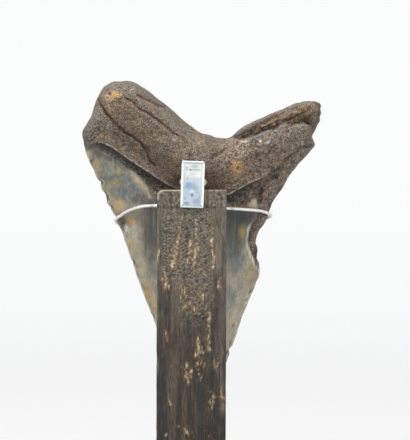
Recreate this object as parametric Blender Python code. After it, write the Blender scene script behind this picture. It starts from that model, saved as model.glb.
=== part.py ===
"""A fossil megalodon tooth on its display stand: tooth, post, plate, spacer, wire and base.

The tooth hangs root up and tip down in front of a flat wooden post. The inner (lingual) face of the
tooth, the post and the plate look along -Y, the outer (labial) face looks along +Y, and +Z is up.
The origin is the middle of the base's underside. All lengths below are in millimetres.
"""

import math

import bmesh
import bpy
import numpy as np
from mathutils import Vector
from mathutils.bvhtree import BVHTree

MM = 0.001
GAP = 0.3                     # left between neighbouring pieces

# Post: an upright board whose foot stands in the base.
POST_WIDTH, POST_BACK, POST_FRONT = 30.2, -21.0, -12.5
POST_FOOT, POST_TOP = 8.3, 166.8
POST_LEAN = 0.0033            # sideways shift per millimetre of height
POST_CORNER = 2.8             # worn round corner at the top, on the -X side
SLOT_BOTTOM, SLOT_TOP, SLOT_DEPTH = 157.6, 161.2, 1.9   # lets the wire pass behind the crown

# Base: a plain block with a mortise for the post.
BASE_SIZE = (100.0, 68.0, 18.0)
BASE_CHAMFER = 1.6
MORTISE_DEPTH = 10.0

# Plate on the back of the post, and the spacer bar between it and the root.
PLATE_SIZE = (10.1, 1.5, 20.4)
PLATE_CENTRE = (0.25, POST_BACK - GAP - PLATE_SIZE[1] / 2, 169.1)
PLATE_TURN = math.radians(1.9)
PLATE_BEVEL = 0.35
SPACER_WIDTH, SPACER_HEIGHT = 11.8, 3.6
SPACER_X, SPACER_HIGH = 0.5, 170.1
SPACER_BACK = POST_BACK
SPACER_FRONT = -15.9

# Wire: route of its middle line as (x, z), from the -X end to the +X end. Each end turns round the
# cutting edge, and a hook is (x where it turns, its outermost x, z in front, z behind).
WIRE_RADIUS = 0.65
LEFT_HOOK = (-31.8, -34.7, 155.0, 152.6)
WIRE_LEFT = [(-30.9, 155.9), (-29.1, 157.1), (-27.4, 157.9), (-25.4, 158.5), (-23.6, 159.1),
             (-21.8, 159.4), (-18.3, 159.8)]
WIRE_RIGHT = [(18.1, 158.6), (22.6, 158.1), (24.8, 157.9), (27.0, 157.7), (29.3, 157.5),
              (31.1, 157.3)]
RIGHT_HOOK = (32.6, 35.2, 156.8, 155.2)
WIRE_IN_SLOT = [(-15.7, -13.3, 159.9), (0.0, -13.35, 159.3), (15.7, -13.3, 158.7)]
WIRE_END_REACH = 3.5          # how far the hooked ends run in behind the crown
WIRE_STEP = 1.8               # between the points of the finished route

# Tooth, seen from the inner side, as (x, z): both sides from the tip up, and the root's top edge.
LEFT_CROWN = [(2.1, 59.2), (-2.4, 69.9), (-6.8, 81.4), (-12.2, 95.7), (-17.6, 109.9), (-22.0, 121.3),
              (-27.0, 134.9), (-31.8, 149.2), (-33.2, 152.2), (-33.6, 154.4), (-35.5, 157.0),
              (-39.1, 163.7), (-42.2, 171.1), (-45.2, 177.8), (-47.4, 182.8), (-48.5, 187.2)]
LEFT_ROOT = [(-48.5, 187.2), (-49.4, 191.8), (-47.6, 196.2), (-45.4, 200.2), (-44.1, 204.7),
             (-42.7, 208.3), (-40.9, 211.4)]
RIGHT_CROWN = [(2.1, 59.2), (7.0, 69.9), (11.0, 79.6), (14.6, 88.5), (19.0, 100.8), (23.5, 113.5),
               (28.0, 124.2), (30.1, 130.6), (29.3, 136.0), (28.7, 143.4), (29.3, 147.5),
               (32.9, 153.2), (35.4, 160.4), (39.7, 166.9), (45.0, 175.4), (53.0, 184.2)]
RIGHT_ROOT = [(53.0, 184.2), (55.2, 187.5), (53.7, 192.2), (56.3, 198.0), (57.4, 204.0), (56.5, 206.0)]
TOP_EDGE = [(-40.9, 211.4), (-39.6, 213.2), (-37.3, 214.8), (-34.2, 215.9), (-30.6, 216.1),
            (-27.0, 215.5), (-23.5, 213.7), (-19.0, 210.7), (-9.1, 203.1), (-0.2, 195.3),
            (3.4, 192.8), (6.1, 191.9), (13.3, 190.4), (16.0, 190.6), (22.2, 194.9), (32.1, 200.0),
            (42.8, 204.5), (47.3, 206.3), (50.9, 206.9), (54.0, 206.9), (56.5, 206.0)]
LEDGE = [(-48.5, 187.2), (-41.9, 187.4), (-27.0, 179.6), (-12.0, 169.8), (-5.4, 166.0), (0.4, 163.3),
         (5.7, 162.0), (10.1, 162.5), (15.8, 164.2), (21.1, 167.0), (27.7, 170.4), (33.4, 172.6),
         (43.1, 177.4), (53.0, 184.2)]                  # lower lip of the root
TIP_X, TIP_Z = LEFT_CROWN[0]
LEDGE_ROW = 0.70              # the row, from 0 at the tip to 1 at the top edge, on that lip
SAG_POWER = 1.3               # how quickly the rows straighten out towards the tip

EDGE_TIP, EDGE_RISE = 1.0, 5.0      # y of the cutting edge at the tip, and what the root adds
FRONT_DEPTH = [(0.0, 0.4), (0.14, 4.7), (0.275, 8.0), (0.41, 10.9), (0.545, 13.2), (0.665, 14.2),
               (0.70, 14.2), (0.75, 14.7), (0.785, 17.2), (0.85, 20.4), (0.91, 19.2), (0.95, 15.8),
               (0.975, 12.0), (0.99, 7.8), (1.0, 0.0)]  # middle of the inner face before the edge
BACK_DEPTH = [(0.0, 0.4), (0.14, 2.4), (0.275, 3.6), (0.41, 4.3), (0.545, 4.7), (0.70, 5.0),
              (0.85, 6.0), (0.94, 5.6), (0.975, 4.2), (0.99, 2.7), (1.0, 0.0)]
LEDGE_STEP = 3.1              # how far the root's lip stands out over the crown

WING_GROOVE = [(-41.8, 206.8), (-38.5, 201.7), (-34.5, 196.1), (-28.9, 192.1), (-24.4, 189.0),
               (-20.3, 185.0), (-19.0, 180.1), (-16.3, 177.9)]
WING_DROP = 2.8               # the hollow wing outside this groove lies lower than the lobe inside
LOBE_GROOVE = [(-29.6, 207.4), (-23.0, 202.6), (-18.5, 200.1), (-12.2, 195.1), (-3.2, 188.9)]
SHORT_GROOVE = [(-24.4, 209.6), (-18.3, 206.8), (-13.8, 204.4)]
FOLD = [(9.2, 180.8), (13.1, 183.4), (20.1, 187.4)]
SHELF = [(14.2, 189.0), (18.9, 189.7), (22.4, 188.3), (25.5, 189.0), (29.1, 191.0), (36.6, 193.4),
         (40.6, 195.4), (47.6, 195.2), (50.3, 196.1), (53.5, 194.0)]   # front wall of the trough
TROUGH_SHARE = 0.66           # part of the root's depth that the trough takes away
BREAK = [(130.0, 30.4), (134.1, 27.6), (139.2, 25.6), (144.0, 24.2), (149.7, 25.1), (155.0, 27.8),
         (163.4, 28.4), (170.0, 31.0), (175.0, 38.0), (179.0, 46.0)]   # (z, x) of its inner border
BREAK_DROP = 1.5
PITS = [(-36.5, 209.6, 3.0), (20.0, 176.5, 2.8)]         # (x, z, radius) of two dimples
PIT_DEPTH = 0.6

COLUMNS, ROWS = 38, 52        # facets across each face, and from the tip to the top edge
ROW_SPREAD = [(0.0, 0.0), (0.41, 0.66), (0.47, 0.715), (1.0, 1.0)]     # closer rows on the root


def curve(points, t):
    """Smooth value at t of the line through points (t, value), which never overshoots them."""
    at, value = np.array(points, dtype=float).T
    step, slope = np.diff(at), np.diff(value) / np.diff(at)
    tangent = np.concatenate([slope[:1], np.zeros(len(slope) - 1), slope[-1:]])
    same = slope[:-1] * slope[1:] > 0
    tangent[1:-1][same] = 2 * (slope[:-1] * slope[1:])[same] / (slope[:-1] + slope[1:])[same]
    k = np.clip(np.searchsorted(at, t, side="right") - 1, 0, len(step) - 1)
    s = np.clip((t - at[k]) / step[k], 0, 1)
    return ((1 + 2 * s) * (1 - s) ** 2 * value[k] + s * (1 - s) ** 2 * step[k] * tangent[k]
            + s ** 2 * (3 - 2 * s) * value[k + 1] + s ** 2 * (s - 1) * step[k] * tangent[k + 1])


def along(outline, t):
    """The (x, z) point at the share t of an outline's length."""
    corners = np.array(outline)
    lengths = np.hypot(*np.diff(corners, axis=0).T)
    share = np.concatenate([[0.0], np.cumsum(lengths)]) / lengths.sum()
    return (curve(np.column_stack([share, corners[:, 0]]), t),
            curve(np.column_stack([share, corners[:, 1]]), t))


def ramp(value, low, high):
    """0 below low, 1 above high, and an S in between."""
    t = np.clip((value - low) / (high - low), 0, 1)
    return t * t * (3 - 2 * t)


def distance(line, x, z):
    """Distance of the points (x, z) from a line of corners."""
    nearest = np.full(np.shape(x), 1000.0)
    for (ax, az), (bx, bz) in zip(line, line[1:]):
        dx, dz = bx - ax, bz - az
        t = np.clip(((x - ax) * dx + (z - az) * dz) / (dx * dx + dz * dz), 0, 1)
        nearest = np.minimum(nearest, np.hypot(x - ax - t * dx, z - az - t * dz))
    return nearest


def lumps(x, z, size, seed):
    """Smooth, fixed, random heights from -1 to 1 on a square lattice."""
    column, row = np.floor(x / size).astype(np.int64), np.floor(z / size).astype(np.int64)
    s, t = x / size - column, z / size - row
    s, t = s * s * (3 - 2 * s), t * t * (3 - 2 * t)

    def height(i, k):
        mixed = (i * 374761393 + k * 668265263 + seed * 144665) & 0x7FFFFFFF
        mixed = ((mixed ^ (mixed >> 13)) * 1274126177) & 0x7FFFFFFF
        return mixed / 0x40000000 - 1.0

    low = height(column, row) * (1 - s) + height(column + 1, row) * s
    high = height(column, row + 1) * (1 - s) + height(column + 1, row + 1) * s
    return low * (1 - t) + high * t


def side_point(crown, root, v):
    """Point of one side of the tooth's outline at the row v."""
    crown_x, crown_z = along(crown, np.clip(v / LEDGE_ROW, 0, 1))
    root_x, root_z = along(root, np.clip((v - LEDGE_ROW) / (1 - LEDGE_ROW), 0, 1))
    return np.where(v < LEDGE_ROW, crown_x, root_x), np.where(v < LEDGE_ROW, crown_z, root_z)


def sag(line, u):
    """How far a line from side to side hangs below the straight one between its ends."""
    (x0, z0), (x1, z1) = line[0], line[-1]
    return curve(line, x0 + u * (x1 - x0)) - (z0 + u * (z1 - z0))


def tooth_plan(u, v):
    """(x, z) at the share u from side to side of the row v, which is 0 at the tip and 1 on top."""
    left_x, left_z = side_point(LEFT_CROWN, LEFT_ROOT, v)
    right_x, right_z = side_point(RIGHT_CROWN, RIGHT_ROOT, v)
    into_root = ramp(v, LEDGE_ROW, 1.0)
    hang = sag(LEDGE, u) * (1 - into_root) + sag(TOP_EDGE, u) * into_root
    hang = hang * np.clip(v / LEDGE_ROW, 0, 1) ** SAG_POWER
    return left_x * (1 - u) + right_x * u, left_z * (1 - u) + right_z * u + hang


def front_depth(u, v, x, z):
    """Depth of the inner face before the tooth's edge: bulge, lip, grooves, trough and break."""
    arch = 1 - (2 * u - 1) ** 2
    into_root = ramp(v, 0.62, 0.78)
    broken_side = ramp(u, 0.75, 0.95) * ramp(v, 0.36, 0.42) * (1 - ramp(v, 0.66, 0.72))
    power = 0.85 - 0.33 * into_root - 0.40 * broken_side
    crest = 0.74 + 0.26 * np.exp(-((u - 0.47) / 0.19) ** 2)
    depth = curve(FRONT_DEPTH, v) * arch ** power * (1 - into_root + into_root * crest)

    over_ledge = z - curve(LEDGE, x)
    root = ramp(over_ledge, -0.5, 1.0)
    depth += LEDGE_STEP * root * ramp(arch, 0.0, 0.25) * (1 - ramp(v, 0.93, 1.0))

    wing = (x < -16) * (1 - ramp(z - curve(WING_GROOVE, x), -1.8, 1.8)) * root
    depth -= WING_DROP * wing * ramp(arch, 0.0, 0.4) * ramp(over_ledge, 0.5, 6.0)
    depth -= 1.5 * np.exp(-(distance(WING_GROOVE, x, z) / 1.3) ** 2)
    depth -= 1.7 * np.exp(-(distance(LOBE_GROOVE, x, z) / 1.5) ** 2)
    depth -= 1.0 * np.exp(-(distance(SHORT_GROOVE, x, z) / 1.2) ** 2)
    depth -= 1.0 * np.exp(-(distance(FOLD, x, z) / 1.5) ** 2)

    over_shelf = z - curve(SHELF, x)
    trough = ramp(over_shelf, -0.6, 1.6) * np.exp(-(np.maximum(over_shelf, 0) / 6.5) ** 2)
    depth *= 1 - TROUGH_SHARE * trough * ramp(x, 14.5, 20.0) * (1 - ramp(x, 51.0, 54.5))

    broken = ramp(x - curve(BREAK, z), 0.0, 3.0) * (1 - root) * ramp(z, 129.0, 133.0)
    depth -= broken * (BREAK_DROP + 0.7 * lumps(x, z, 5.5, 5)) * ramp(arch, 0.0, 0.3)
    for pit_x, pit_z, radius in PITS:
        depth -= PIT_DEPTH * np.exp(-(np.hypot(x - pit_x, z - pit_z) / radius) ** 2)

    rough = root * ramp(arch, 0.0, 0.5) * (1 - ramp(v, 0.95, 1.0))
    depth += rough * (0.45 * lumps(x, z, 7.0, 1) + 0.25 * lumps(x, z, 3.6, 2))
    return np.maximum(depth, 0.02 * arch)


def back_depth(u, v, x, z):
    """Depth of the flatter outer face behind the tooth's edge."""
    arch = 1 - (2 * u - 1) ** 2
    depth = curve(BACK_DEPTH, v) * arch ** (0.55 - 0.12 * ramp(v, 0.62, 0.78))
    depth += 0.5 * lumps(x, z, 8.0, 3) * ramp(v, 0.78, 0.86) * (1 - ramp(v, 0.95, 1.0)) * ramp(arch, 0, 0.5)
    return np.maximum(depth, 0.02 * arch)


def tooth_shell():
    """Corners and faces of the tooth: rings from the tip to the top edge, where both faces meet."""
    half = np.arange(COLUMNS + 1) / COLUMNS
    across = 0.5 * half + 0.25 * (1 - np.cos(math.pi * half))      # closer rows at the two sides
    rise = curve(ROW_SPREAD, np.arange(1, ROWS + 1) / ROWS)
    u, v = np.meshgrid(across, rise)
    x, z = tooth_plan(u, v)
    edge_y = EDGE_TIP + EDGE_RISE * np.clip(v / 0.75, 0, 1)
    front = np.stack([x, edge_y - front_depth(u, v, x, z), z], axis=-1)
    back = np.stack([x, edge_y + back_depth(u, v, x, z), z], axis=-1)
    sides = [0, COLUMNS]
    front[:, sides, 1] = edge_y[:, sides]
    front[-1, :, 1] = edge_y[-1]

    corners = [(TIP_X, EDGE_TIP, TIP_Z)]
    rings = []
    for row in range(ROWS):
        ring = list(front[row])
        if row < ROWS - 1:
            ring += list(back[row, -2:0:-1])
            index = list(range(len(corners), len(corners) + len(ring)))
        else:
            shared = list(range(len(corners), len(corners) + len(ring)))
            index = shared + shared[-2:0:-1]
        corners += [tuple(point) for point in ring]
        rings.append(index)

    around = 2 * COLUMNS
    faces = [(0, rings[0][(j + 1) % around], rings[0][j]) for j in range(around)]
    for low, high in zip(rings, rings[1:]):
        for j in range(around):
            k = (j + 1) % around
            faces.append((low[j], low[k], high[k], high[j]))
    return corners, faces


def finish(surface, color, roughness, metallic):
    """A plain Principled material."""
    material = bpy.data.materials.new(surface)
    material.use_nodes = True
    shader = material.node_tree.nodes["Principled BSDF"]
    shader.inputs["Base Color"].default_value = (*color, 1.0)
    shader.inputs["Roughness"].default_value = roughness
    shader.inputs["Metallic"].default_value = metallic
    return material


def place(name, mesh, material):
    """Link a mesh into the scene as the named piece."""
    piece = bpy.data.objects.new(name, mesh)
    bpy.context.collection.objects.link(piece)
    mesh.materials.append(material)
    return piece


def extruded(name, outline, back, front):
    """A mesh from an (x, z) outline, listed anticlockwise as seen from -Y, between two depths."""
    shape = bmesh.new()
    face = shape.faces.new([shape.verts.new((x * MM, back * MM, z * MM)) for x, z in outline])
    swept = bmesh.ops.extrude_face_region(shape, geom=[face])
    moved = [item for item in swept["geom"] if isinstance(item, bmesh.types.BMVert)]
    bmesh.ops.translate(shape, verts=moved, vec=(0, (front - back) * MM, 0))
    bmesh.ops.recalc_face_normals(shape, faces=shape.faces)
    mesh = bpy.data.meshes.new(name)
    shape.to_mesh(mesh)
    shape.free()
    return mesh


def box(name, size, centre):
    """A box mesh of the given size about its middle."""
    width, depth, height = size
    x, y, z = centre
    outline = [(x - width / 2, z - height / 2), (x + width / 2, z - height / 2),
               (x + width / 2, z + height / 2), (x - width / 2, z + height / 2)]
    return extruded(name, outline, y - depth / 2, y + depth / 2)


def arc(centre, radius, start, end, count):
    """Points on an arc in the X-Z plane, angles in degrees."""
    angles = np.radians(np.linspace(start, end, count))
    return [(centre[0] + radius * math.cos(a), centre[1] + radius * math.sin(a)) for a in angles]


def cut(piece, name, size, centre):
    """Take a box out of a piece with a Boolean whose cutter stays in the scene as a guide."""
    cutter = bpy.data.objects.new(name, box(name, size, centre))
    bpy.context.collection.objects.link(cutter)
    cutter.hide_render = True
    cutter.display_type = "WIRE"
    boolean = piece.modifiers.new(name, "BOOLEAN")
    boolean.operation = "DIFFERENCE"
    boolean.solver = "EXACT"
    boolean.object = cutter


def make_tooth(corners, faces):
    mesh = bpy.data.meshes.new("tooth")
    mesh.from_pydata([(x * MM, y * MM, z * MM) for x, y, z in corners], [], faces)
    mesh.shade_smooth()
    mesh.set_sharp_from_angle(angle=math.radians(60))
    place("tooth", mesh, finish("fossil root and enamel", (0.16, 0.14, 0.11), 0.55, 0.0))


def make_post():
    """A board with one worn top corner, a slight lean, and a slot across its front for the wire."""
    half = POST_WIDTH / 2
    foot_shift = -POST_LEAN * (POST_TOP - POST_FOOT)
    corner = (-half + POST_CORNER, POST_TOP - POST_CORNER)
    outline = [(foot_shift - half, POST_FOOT), (foot_shift + half, POST_FOOT), (half, POST_TOP - 0.5),
               (half - 0.5, POST_TOP)] + arc(corner, POST_CORNER, 90, 180, 7)
    post = place("post", extruded("post", outline, POST_BACK, POST_FRONT),
                 finish("dark worn wood", (0.10, 0.08, 0.06), 0.75, 0.0))
    cut(post, "wire slot", (POST_WIDTH + 10, 2 * SLOT_DEPTH, SLOT_TOP - SLOT_BOTTOM),
        (0.0, POST_FRONT, (SLOT_TOP + SLOT_BOTTOM) / 2))


def make_base():
    """The block that the post stands in, with chamfered edges and the post's mortise."""
    width, depth, height = BASE_SIZE
    base = place("base", box("base", BASE_SIZE, (0, 0, height / 2)),
                 finish("dark base wood", (0.09, 0.07, 0.055), 0.7, 0.0))
    bevel = base.modifiers.new("chamfer", "BEVEL")
    bevel.width = BASE_CHAMFER * MM
    bevel.segments = 1
    middle_x = -POST_LEAN * (POST_TOP - height)
    slack = 2 * GAP + POST_LEAN * MORTISE_DEPTH
    cut(base, "mortise", (POST_WIDTH + slack, POST_FRONT - POST_BACK + 2 * GAP, 2 * MORTISE_DEPTH),
        (middle_x, (POST_BACK + POST_FRONT) / 2, height))


def make_plate():
    plate = place("plate", box("plate", PLATE_SIZE, (0, 0, 0)),
                  finish("polished plate metal", (0.78, 0.82, 0.84), 0.25, 1.0))
    plate.location = Vector(PLATE_CENTRE) * MM
    plate.rotation_euler = (0.0, PLATE_TURN, 0.0)
    bevel = plate.modifiers.new("edge", "BEVEL")
    bevel.width = PLATE_BEVEL * MM
    bevel.segments = 2


def make_spacer():
    """A short bar with round ends on top of the post, from the plate to the root."""
    radius = SPACER_HEIGHT / 2
    reach = SPACER_WIDTH / 2 - radius
    outline = (arc((SPACER_X + reach, SPACER_HIGH), radius, -90, 90, 9)
               + arc((SPACER_X - reach, SPACER_HIGH), radius, 90, 270, 9))
    place("spacer", extruded("spacer", outline, SPACER_BACK, SPACER_FRONT),
          finish("pale spacer metal", (0.72, 0.72, 0.70), 0.35, 1.0))


def wire_route(corners, faces):
    """Middle line of the wire: laid on the crown by looking at it from -Y, and hooked round it."""
    tree = BVHTree.FromPolygons(corners, faces)
    clear = WIRE_RADIUS + GAP + 0.15

    def laid(x, z, side):
        """The wire's middle line over the inner (side -1) or outer (side 1) face at (x, z)."""
        heights = []
        for dx, dz in ((0, 0), (-clear, 0), (clear, 0), (0, clear), (0, -clear)):
            hit = tree.ray_cast(Vector((x + dx, 80.0 * side, z + dz)), Vector((0, -side, 0)))[0]
            if hit:
                heights.append(hit.y * side)
        return x, side * (max(heights) + clear), z

    def hook(turn_x, outer_x, front_z, behind_z):
        """From the end of the wire behind the crown round its edge to the inner face."""
        front, behind = laid(turn_x, front_z, -1), laid(turn_x, behind_z, 1)
        inward = math.copysign(WIRE_END_REACH, -turn_x)
        points = [laid(turn_x + inward, behind_z - 0.5, 1), behind]
        for angle in np.radians([150, 120, 90, 60, 30]):
            share = (1 - math.cos(angle)) / 2
            points.append((turn_x + (outer_x - turn_x) * math.sin(angle),
                           front[1] + (behind[1] - front[1]) * share,
                           front_z + (behind_z - front_z) * share))
        return points + [front]

    left = [laid(x, z, -1) for x, z in WIRE_LEFT]
    right = [laid(x, z, -1) for x, z in WIRE_RIGHT]
    return hook(*LEFT_HOOK) + left + WIRE_IN_SLOT + right + hook(*RIGHT_HOOK)[::-1]


def smooth_route(points, spacing):
    """Evenly spaced points on a smooth line through the route's own points."""
    points = np.array(points)
    lengths = np.linalg.norm(np.diff(points, axis=0), axis=1)
    at = np.concatenate([[0.0], np.cumsum(lengths)])
    t = np.linspace(0, at[-1], round(at[-1] / spacing) + 1)
    return np.column_stack([curve(np.column_stack([at, points[:, k]]), t) for k in range(3)])


def make_wire(corners, faces):
    route = smooth_route(wire_route(corners, faces), WIRE_STEP)
    line = bpy.data.curves.new("wire", "CURVE")
    line.dimensions = "3D"
    line.bevel_depth = WIRE_RADIUS * MM
    line.bevel_resolution = 2
    line.use_fill_caps = True
    spline = line.splines.new("POLY")
    spline.points.add(len(route) - 1)
    for point, (x, y, z) in zip(spline.points, route):
        point.co = (x * MM, y * MM, z * MM, 1.0)
    wire = bpy.data.objects.new("wire", line)
    bpy.context.collection.objects.link(wire)
    line.materials.append(finish("wire metal", (0.80, 0.80, 0.78), 0.3, 1.0))


def main():
    for old in list(bpy.data.objects):
        bpy.data.objects.remove(old, do_unlink=True)
    corners, faces = tooth_shell()
    make_tooth(corners, faces)
    make_post()
    make_plate()
    make_spacer()
    make_wire(corners, faces)
    make_base()


main()
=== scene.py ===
import math

import bpy
import numpy as np
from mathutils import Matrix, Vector
from mathutils.bvhtree import BVHTree


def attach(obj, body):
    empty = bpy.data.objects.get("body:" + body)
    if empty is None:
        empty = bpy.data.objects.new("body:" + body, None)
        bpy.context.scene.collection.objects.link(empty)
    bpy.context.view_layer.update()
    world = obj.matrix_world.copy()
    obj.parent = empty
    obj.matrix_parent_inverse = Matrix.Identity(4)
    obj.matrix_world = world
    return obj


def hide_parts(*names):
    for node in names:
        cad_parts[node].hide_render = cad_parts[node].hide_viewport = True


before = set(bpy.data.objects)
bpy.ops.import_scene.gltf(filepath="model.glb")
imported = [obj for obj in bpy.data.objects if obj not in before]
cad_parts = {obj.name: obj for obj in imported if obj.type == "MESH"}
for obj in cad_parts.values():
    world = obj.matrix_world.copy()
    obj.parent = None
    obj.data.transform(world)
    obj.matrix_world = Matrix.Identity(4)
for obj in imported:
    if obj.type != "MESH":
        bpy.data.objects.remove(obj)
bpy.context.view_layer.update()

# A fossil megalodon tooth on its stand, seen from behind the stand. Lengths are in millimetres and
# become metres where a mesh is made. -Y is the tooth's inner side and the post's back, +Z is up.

metre = 0.001                    # one millimetre in metres


# helpers for numbers

def curve(points, t):
    # smooth value at t of the line through points (t, value); never overshoots its points
    at, value = np.array(points, dtype=float).T
    step, slope = np.diff(at), np.diff(value) / np.diff(at)
    tangent = np.concatenate([slope[:1], np.zeros(len(slope) - 1), slope[-1:]])
    same = slope[:-1] * slope[1:] > 0
    tangent[1:-1][same] = 2 * (slope[:-1] * slope[1:])[same] / (slope[:-1] + slope[1:])[same]
    k = np.clip(np.searchsorted(at, t, side="right") - 1, 0, len(step) - 1)
    s = np.clip((t - at[k]) / step[k], 0, 1)
    return ((1 + 2 * s) * (1 - s) ** 2 * value[k] + s * (1 - s) ** 2 * step[k] * tangent[k]
            + s ** 2 * (3 - 2 * s) * value[k + 1] + s ** 2 * (s - 1) * step[k] * tangent[k + 1])


def along(outline, t):
    # the (x, z) point at the share t of an outline's length
    corners = np.array(outline)
    lengths = np.hypot(*np.diff(corners, axis=0).T)
    share = np.concatenate([[0.0], np.cumsum(lengths)]) / lengths.sum()
    return [curve(np.column_stack([share, values]), t) for values in corners.T]


def ramp(value, low, high):
    # 0 below low, 1 above high, an S in between: t * t * (3 - 2 t)
    t = np.clip((value - low) / (high - low), 0, 1)
    return t * t * (3 - 2 * t)


def fall(value, low, high):
    # the ramp turned round: 1 below low, 0 above high
    return 1 - ramp(value, low, high)


def bump(distance, width):
    # bell of height 1: exp(-(distance / width)^2)
    return np.exp(-(distance / width) ** 2)


def spot(x, z, centreX, centreZ, halfWidth, halfHeight):
    # bell of height 1 round one point, by the distance from it in half widths and half heights
    return bump(np.hypot((x - centreX) / halfWidth, (z - centreZ) / halfHeight), 1.0)


def stain(x, z, centreX, centreZ, halfWidth, halfHeight, ragged, low, high):
    # 1 in an oval, falling to 0 between low and high times its size; ragged moves the border
    return fall(np.hypot((x - centreX) / halfWidth, (z - centreZ) / halfHeight) + ragged, low, high)


def distanceTo(line, x, z):
    # distance of points (x, z) from a line of corners
    nearest = np.full(np.shape(x), 1000.0)
    for (ax, az), (bx, bz) in zip(line, line[1:]):
        dx, dz = bx - ax, bz - az
        t = np.clip(((x - ax) * dx + (z - az) * dz) / (dx * dx + dz * dz), 0, 1)
        nearest = np.minimum(nearest, np.hypot(x - ax - t * dx, z - az - t * dz))
    return nearest


def lumps(x, y, z, size, seed):
    # smooth fixed random heights from -1 to 1 on a cubic lattice of the given size
    i, j, k = (np.floor(c / size).astype(np.int64) for c in (x, y, z))
    r, s, t = (c / size - np.floor(c / size) for c in (x, y, z))
    r, s, t = (c * c * (3 - 2 * c) for c in (r, s, t))
    total = 0.0
    for di, wi in ((0, 1 - r), (1, r)):
        for dj, wj in ((0, 1 - s), (1, s)):
            for dk, wk in ((0, 1 - t), (1, t)):
                mixed = ((i + di) * 374761393 + (j + dj) * 2246822519 + (k + dk) * 668265263
                         + seed * 144665) & 0x7FFFFFFF
                mixed = ((mixed ^ (mixed >> 13)) * 1274126177) & 0x7FFFFFFF
                total = total + wi * wj * wk * ((mixed ^ (mixed >> 16)) / 0x40000000 - 1.0)
    return total


def rough(x, y, z, size, seed, layers=3):
    # lumps on lumps: each layer half the size and half the height of the one before
    return sum(lumps(x, y, z, size / 2 ** n, seed + n) / 2 ** n for n in range(layers))


# helpers for meshes, colours and materials

def makeMesh(name, corners, faceGroups):
    # corners (n, 3) in millimetres; each group is an array of faces with the same number of corners
    mesh = bpy.data.meshes.new(name)
    mesh.vertices.add(len(corners))
    mesh.vertices.foreach_set("co", (np.asarray(corners) * metre).ravel())
    sizes = np.concatenate([np.full(len(group), group.shape[1]) for group in faceGroups])
    loops = np.concatenate([group.ravel() for group in faceGroups])
    mesh.loops.add(len(loops))
    mesh.loops.foreach_set("vertex_index", loops)
    mesh.polygons.add(len(sizes))
    mesh.polygons.foreach_set("loop_start", np.concatenate([[0], np.cumsum(sizes)[:-1]]))
    mesh.update(calc_edges=True)
    mesh.validate()
    mesh.shade_smooth()
    piece = bpy.data.objects.new(name, mesh)
    bpy.context.scene.collection.objects.link(piece)
    return piece


def gridFaces(index):
    # four-cornered faces over a grid of corner numbers, outward when rows go up and columns go right
    low, high = index[:-1], index[1:]
    return np.stack([low[:, :-1], low[:, 1:], high[:, 1:], high[:, :-1]], axis=-1).reshape(-1, 4)


def ringNumbers(rows, columns):
    # corner numbers of closed rings, one ring to a row, with the first column again at the end
    index = np.arange(rows * columns).reshape(rows, columns)
    return np.concatenate([index, index[:, :1]], axis=1)


def closedRings(name, rings):
    # a tube of closed rings (row, column, xyz) with an even number of columns; the first and last
    # ring are closed flat by faces that run across from one half of the ring to the other
    rows, columns = rings.shape[:2]
    index = ringNumbers(rows, columns)
    near = np.arange(columns // 2 - 1)
    across = np.stack([near, near + 1, columns - 2 - near, columns - 1 - near], axis=-1)
    faces = [gridFaces(index), index[0][across[:, ::-1]], index[-1][across]]
    return makeMesh(name, rings.reshape(-1, 3), faces)


def paint(piece, name, values):
    # one number, or one linear colour, for each corner of the piece
    kind = "FLOAT" if np.ndim(values) == 1 else "FLOAT_COLOR"
    layer = piece.data.attributes.new(name, kind, "POINT")
    if kind == "FLOAT":
        layer.data.foreach_set("value", values.astype(np.float32))
    else:
        rgba = np.concatenate([values, np.ones((len(values), 1))], axis=1)
        layer.data.foreach_set("color", rgba.astype(np.float32).ravel())


def linear(*rgb):
    # screen colour from 0 to 255 as linear light
    c = np.array(rgb) / 255.0
    return np.where(c <= 0.04045, c / 12.92, ((c + 0.055) / 1.055) ** 2.4)


def evenly(x, *rgb):
    # one screen colour for every corner
    return np.zeros(x.shape + (3,)) + linear(*rgb)


def blend(colors, layers):
    # mix each (share from 0 to 1, screen colour) into an array of linear colours, one after another
    for share, rgb in layers:
        share = np.clip(share, 0, 1)[..., None]
        colors = colors * (1 - share) + linear(*rgb) * share
    return colors


def newMaterial(name):
    # a material and four helpers for its nodes: shade sets inputs of the shader, each a value or a
    # node's output; add makes a node and gives one output; spread carries a value to a new range;
    # and noise gives the cloudy noise of a place
    material = bpy.data.materials.new(name)
    material.use_nodes = True
    nodes, links = material.node_tree.nodes, material.node_tree.links

    def put(node, inputs):
        for key, value in inputs.items():
            if isinstance(value, bpy.types.NodeSocket):
                links.new(value, node.inputs[key])
            else:
                node.inputs[key].default_value = value

    def add(kind, output, inputs=None, **settings):
        node = nodes.new(kind)
        for key, value in settings.items():
            setattr(node, key, value)
        put(node, inputs or {})
        return node.outputs[output]

    def spread(value, toMin, toMax, fromMin=0.0, fromMax=1.0):
        return add("ShaderNodeMapRange", "Result", {"Value": value, "From Min": fromMin, "From Max": fromMax,
                                                    "To Min": toMin, "To Max": toMax})

    def noise(place, scale, detail, roughness=0.5):
        return add("ShaderNodeTexNoise", "Fac", {"Vector": place, "Scale": scale, "Detail": detail,
                                                 "Roughness": roughness})

    def shade(inputs):
        put(nodes["Principled BSDF"], inputs)

    return material, shade, add, spread, noise


def finishPiece(piece, material, node):
    # what every piece gets: its material, its body and the CAD node that it replaces
    piece.data.materials.append(material)
    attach(piece, "root")
    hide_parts(node)
    return piece


cameraPlace = {"x": 5.65, "y": -921.0, "z": 153.65, "pixelsPerSlope": 2070.0, "framePixels": 440.0}


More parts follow.
